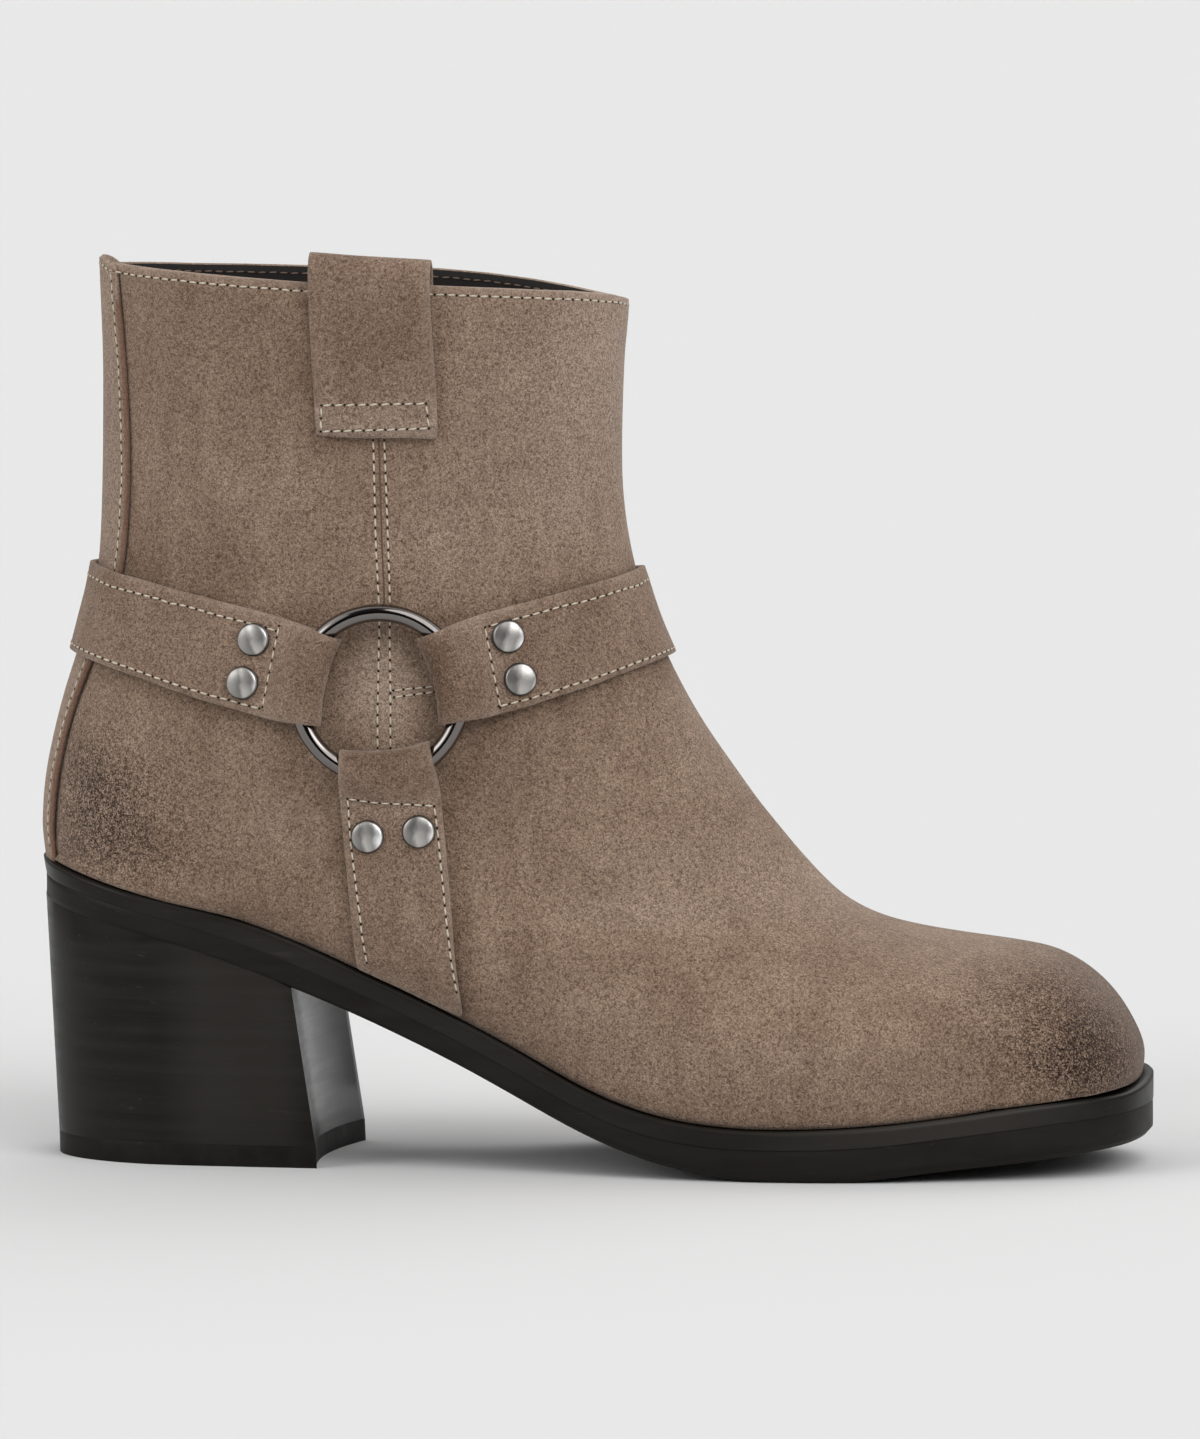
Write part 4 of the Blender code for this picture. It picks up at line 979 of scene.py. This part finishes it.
class Sewing:
    """Collects rows of stitches and makes them one mesh of threads, with needle holes and groove
    strips of painted shade.
    """

    def __init__(self, sizes):
        self.sizes = sizes
        self.stitches, self.holes, self.strips = [], [], []

    def row(self, surface, line, slant=0.05):
        laid = [surface.find_nearest(spot)[:2] for spot in even_points(line, self.sizes.pitch)]
        for (a, first), (b, second) in zip(laid, laid[1:]):
            normal = (first + second).normalized()
            along = (b - a).normalized()
            along = (along + normal.cross(along) * slant).normalized()
            turn = Matrix((along, normal.cross(along), normal)).transposed().to_4x4()
            self.stitches.append(Matrix.Translation((a + b) / 2 + normal * (0.08 * MM)) @ turn)
        for spot, normal in laid:
            turn = UP.rotation_difference(normal).to_matrix().to_4x4()
            self.holes.append(Matrix.Translation(spot + normal * (0.06 * MM)) @ turn)

    def groove(self, surface, line):
        """A fine dark strip where two panels meet: the painted shade of their groove."""
        laid = [surface.find_nearest(spot)[:2] for spot in even_points(line, 1.5 * MM)]
        strip = []
        for i, (spot, normal) in enumerate(laid):
            along = laid[min(i + 1, len(laid) - 1)][0] - laid[max(i - 1, 0)][0]
            half = normal.cross(along.normalized()) * (0.2 * MM)
            strip.append((spot + normal * (0.03 * MM), half))
        self.strips.append(strip)

    def made(self, name, thread):
        sizes = self.sizes
        bpy.ops.mesh.primitive_uv_sphere_add(segments=6, ring_count=5, radius=0.5)
        strand = bpy.context.object
        strand.data.transform(Matrix.Rotation(math.pi / 2, 4, "Y"))
        strand.data.transform(Matrix.Diagonal((sizes.stitch, sizes.thread, sizes.thread * 0.8, 1)))
        bpy.ops.mesh.primitive_circle_add(vertices=7, radius=sizes.hole, fill_type="NGON")
        dot = bpy.context.object
        points, faces, looks = [], [], []
        for pattern, places, look in ((dot, self.holes, 1), (strand, self.stitches, 0)):
            corners = [v.co.copy() for v in pattern.data.vertices]
            shapes = [tuple(face.vertices) for face in pattern.data.polygons]
            for place in places:
                start = len(points)
                points += [place @ corner for corner in corners]
                faces += [tuple(start + i for i in shape) for shape in shapes]
                looks += [look] * len(shapes)
            bpy.data.objects.remove(pattern)
        for strip in self.strips:
            start = len(points)
            for spot, half in strip:
                points += [spot - half, spot + half]
            faces += [(k, k + 1, k + 3, k + 2) for k in range(start, start + 2 * len(strip) - 2, 2)]
            looks += [2] * (len(strip) - 1)
        mesh = bpy.data.meshes.new(name)
        mesh.from_pydata(points, [], faces)
        for look in (thread, "hole", "groove"):
            mesh.materials.append(LOOKS[look])
        mesh.polygons.foreach_set("material_index", looks)
        mesh.shade_smooth()
        piece = bpy.data.objects.new(name, mesh)
        bpy.context.scene.collection.objects.link(piece)
        finished(piece, None)


# Rows round the straps: angles in degrees, the strap's way from the rings, and its cross seam.
# Each search has two limits, in degrees or millimetres, and the number of values tried.
STRAP_SEAMS = (("heel_strap", (-150, 150, 201), -1, HEEL_CROSS),
               ("instep_strap", (30, 330, 201), 1, INSTEP_CROSS))
STRAP_CASTS, ROW_SHARE = (92, 160, 221), 0.12

# Rows down the lower straps, the least width and the longest step of an edge in metres.
DOWN_SEAMS = (("down_strap_outer", LATERAL), ("down_strap_inner", MEDIAL))
DOWN_ROWS, DOWN_CASTS = (88, 38, 61), (-75, -20, 221)
DOWN_WIDTH, DOWN_STEP = 0.012, 0.0006

# Rows of the collar and the stay, and the height where the groove between the side seams ends.
COLLAR_ANGLES, COLLAR_CASTS = (-180, 180, 241), (RIM_LOW, 216, 105)
STAY_ROWS, STAY_CASTS = (74, 212, 121), (-45, 45, 241)
GROOVE_END = 130


def harness_seams(skin, sizes):
    """Rows along the harness straps' edges and across their folded ends."""
    sewing = Sewing(sizes)
    for name, angles, way, cross in STRAP_SEAMS:
        surface, found = skin[name], []
        for angle in map(math.radians, np.linspace(*angles)):
            found.append(reach_of(lambda z: around(surface, angle, z), *STRAP_CASTS))
        bottoms, tops = zip(*filter(None, found))
        (x0, _), (x1, _) = cross
        for edge, other, share in ((tops, bottoms, ROW_SHARE), (bottoms, tops, 1 - ROW_SHARE)):
            limit = (x0 + (x1 - x0) * share) * MM
            line = drawn_in(surface, edge, other, sizes.inset)
            sewing.row(surface, [spot for spot in line if (spot.x - limit) * way > 0])
        for side in BOTH:
            sewing.row(surface, side_line(surface, cross, side))
    for name, side in DOWN_SEAMS:
        surface, backs, fronts = skin[name], [], []
        for z in np.linspace(*DOWN_ROWS):
            found = reach_of(lambda x: beside(surface, x, z, side), *DOWN_CASTS)
            if found and (found[1] - found[0]).length > DOWN_WIDTH:
                fronts.append(found[::-1])
                if not backs or found[0].x - backs[-1][0].x < DOWN_STEP:
                    backs.append(found)
        rear, fore = (drawn_in(surface, *zip(*edges), sizes.inset) for edges in (backs, fronts))
        for line in (rear, fore, even_points([rear[0], fore[0]], MM)):
            sewing.row(surface, line)
    sewing.made("harness_stitches", "thread")


def shaft_seams(skin, both, collar, sizes):
    """Rows round the collar, down the sides and the back stay, and on the pull loop."""
    sewing = Sewing(sizes)
    sewing.row(both, collar)
    upper, stay, loop = (skin[name] for name in ("upper", "back_stay", "pull_loop"))
    for side in BOTH:
        for seam in SIDE_SEAMS + RING_SEAMS:
            sewing.row(upper, side_line(upper, seam, side))
        middle = [((a + c) / 2, b) for (a, b), (c, _) in zip(*SIDE_SEAMS) if b > GROOVE_END]
        sewing.groove(upper, side_line(upper, middle, side))
    found = []
    for z in np.linspace(*STAY_ROWS):
        found.append(reach_of(lambda angle: around(stay, math.radians(angle), z), *STAY_CASTS))
    rights, lefts = zip(*filter(None, found))
    for edge, other in ((rights, lefts), (lefts, rights)):
        sewing.row(stay, drawn_in(stay, edge, other, sizes.stay_inset))
    for corners in zip(LOOP_BOX, LOOP_BOX[1:]):
        sewing.row(loop, side_line(loop, corners, LATERAL), slant=0.12)
    sewing.made("shaft_stitches", "thread")


class BOOT_OT_seams(bpy.types.Operator):
    """Seams: every row of stitches with its needle holes"""

    bl_idname = "boot.seams"
    bl_label = "Seams"

    def execute(self, context):
        sizes = context.scene.boot_sizes
        piece = {name: bpy.data.objects["suede_" + name]
                 for name in ("upper", "back_stay", "pull_loop", *STRAP_FOLD_RUB_AND_SHADE)}
        skin = {name: surface_of(thing) for name, thing in piece.items()}
        both = surface_of(piece["upper"], piece["back_stay"])
        collar, inner = [], []
        for angle in map(math.radians, np.linspace(*COLLAR_ANGLES)):
            top = reach_of(lambda z: around(both, angle, z), *COLLAR_CASTS)[1]
            core, out = Vector((AXIS_X * MM, 0, top.z - sizes.collar_inset)), outward(top)
            collar.append(both.ray_cast(core + out * FAR, -out)[0])
            inner.append(skin["upper"].ray_cast(core, out)[0])
        harness_seams(skin, sizes)
        shaft_seams(skin, both, collar, sizes)
        lining = Sewing(sizes)
        lining.row(skin["upper"], [spot for spot in inner if spot])
        lining.made("lining_stitches", "dark_thread")
        return {"FINISHED"}


# Camera: a long lens 3.5 m away, a little above the boot and turned a little towards the toe.
CAMERA_TARGET = (0.00045, 0.0, 0.1048)
CAMERA_PLACE = (0.3645, -3.4638, 0.450)
CAMERA_LENS = 367.8

# Lamps: where each stands, how wide it looks in degrees, and its strength.
LAMPS = (
    ("key", (1.3, -1.9, 2.3), 48.0, 1.28),
    ("fill", (-2.0, -1.4, 1.3), 60.0, 0.64),
    ("back", (0.8, 1.8, 2.0), 50.0, 0.60),
)

# The air: horizon and top, a darker front and two light boxes, each with the span it changes over.
SKY_EDGE, SKY_TOP, SKY_SPAN = 0.16, 0.95, (0.05, 0.7)
FRONT, FRONT_SHARE, FRONT_SPAN = (0.06, -0.88, 0.47), 0.04, (0.50, 0.85)
BOXES, BOX_LIGHT, BOX_SPAN = ((-0.68, -0.55, 0.48), (0.72, -0.52, 0.46)), 3.0, (0.96, 0.975)


def aimed(place, target):
    return (Vector(target) - Vector(place)).to_track_quat("-Z", "Y").to_euler()


class BOOT_OT_stage(bpy.types.Operator):
    """Stage: a pale floor, soft studio light and the camera"""

    bl_idname = "boot.stage"
    bl_label = "Stage"

    def execute(self, context):
        bpy.ops.mesh.primitive_plane_add(size=60.0, location=(0, 0, 0))
        floor = context.object
        floor.name = "studio_floor"
        paper, nodes, shader, _ = new_material("floor_paper", 0.95)
        nodes.feed(shader, {
            "Base Color": context.scene.boot_colours.floor, "Specular IOR Level": 0.0})
        floor.data.materials.append(paper)
        for name, place, width, strength in LAMPS:
            bpy.ops.object.light_add(type="SUN", location=place, rotation=aimed(place, (0, 0, 0.1)))
            lamp = context.object
            lamp.name = name + "_lamp"
            lamp.data.angle = math.radians(width)
            lamp.data.energy = strength
        world = bpy.data.worlds.new("studio_air")
        world.use_nodes = True
        nodes = Nodes(world.node_tree)
        way = nodes.add("TexCoord", out="Generated")

        def near(direction, span, *light):
            share = nodes.add(
                "VectorMath", {0: way, 1: direction}, out="Value", operation="DOT_PRODUCT")
            return nodes.scaled(share, *span, *light)

        height = nodes.add("SeparateXYZ", {0: way}, out=2)
        sky = nodes.scaled(height, *SKY_SPAN, SKY_EDGE, SKY_TOP)
        sky = nodes.math("MULTIPLY", sky, near(FRONT, FRONT_SPAN, 1.0, FRONT_SHARE))
        for box in BOXES:
            sky = nodes.math("ADD", sky, near(box, BOX_SPAN, 0.0, BOX_LIGHT))
        nodes.feed(world.node_tree.nodes["Background"], {"Color": (1, 1, 1), "Strength": sky})
        context.scene.world = world
        context.scene.view_settings.view_transform = "Standard"
        bpy.ops.object.camera_add(location=CAMERA_PLACE, rotation=aimed(CAMERA_PLACE, CAMERA_TARGET))
        camera = context.object
        camera.name = "photo_camera"
        camera.data.sensor_width = 36.0
        camera.data.lens = CAMERA_LENS
        camera.data.clip_end = 100.0
        context.scene.camera = camera
        return {"FINISHED"}


class BOOT_PT_panel(bpy.types.Panel):
    """Lists the boot's pieces, sizes and colours"""

    bl_idname = "BOOT_PT_panel"
    bl_label = "Boot"
    bl_space_type = "VIEW_3D"
    bl_region_type = "UI"
    bl_category = "Boot"

    def draw(self, context):
        layout = self.layout
        for operator in OPERATORS:
            layout.operator(operator.bl_idname)
        for group in (context.scene.boot_sizes, context.scene.boot_colours):
            for name in group.bl_rna.properties.keys():
                if name not in ("rna_type", "name"):
                    layout.prop(group, name)


OPERATORS = (BOOT_OT_upper, BOOT_OT_straps, BOOT_OT_sole, BOOT_OT_rings, BOOT_OT_rivets,
             BOOT_OT_seams, BOOT_OT_stage)
CLASSES = (BootSizes, BootColours, *OPERATORS, BOOT_PT_panel)


def register():
    for kind in CLASSES:
        bpy.utils.register_class(kind)
    bpy.types.Scene.boot_sizes = bpy.props.PointerProperty(type=BootSizes)
    bpy.types.Scene.boot_colours = bpy.props.PointerProperty(type=BootColours)


def unregister():
    del bpy.types.Scene.boot_colours
    del bpy.types.Scene.boot_sizes
    for kind in reversed(CLASSES):
        bpy.utils.unregister_class(kind)


def main():
    register()
    make_looks()
    bpy.ops.boot.upper()
    bpy.ops.boot.straps()
    bpy.ops.boot.sole()
    bpy.ops.boot.rings()
    bpy.ops.boot.rivets()
    bpy.ops.boot.seams()
    bpy.ops.boot.stage()


if __name__ == "__main__":
    main()
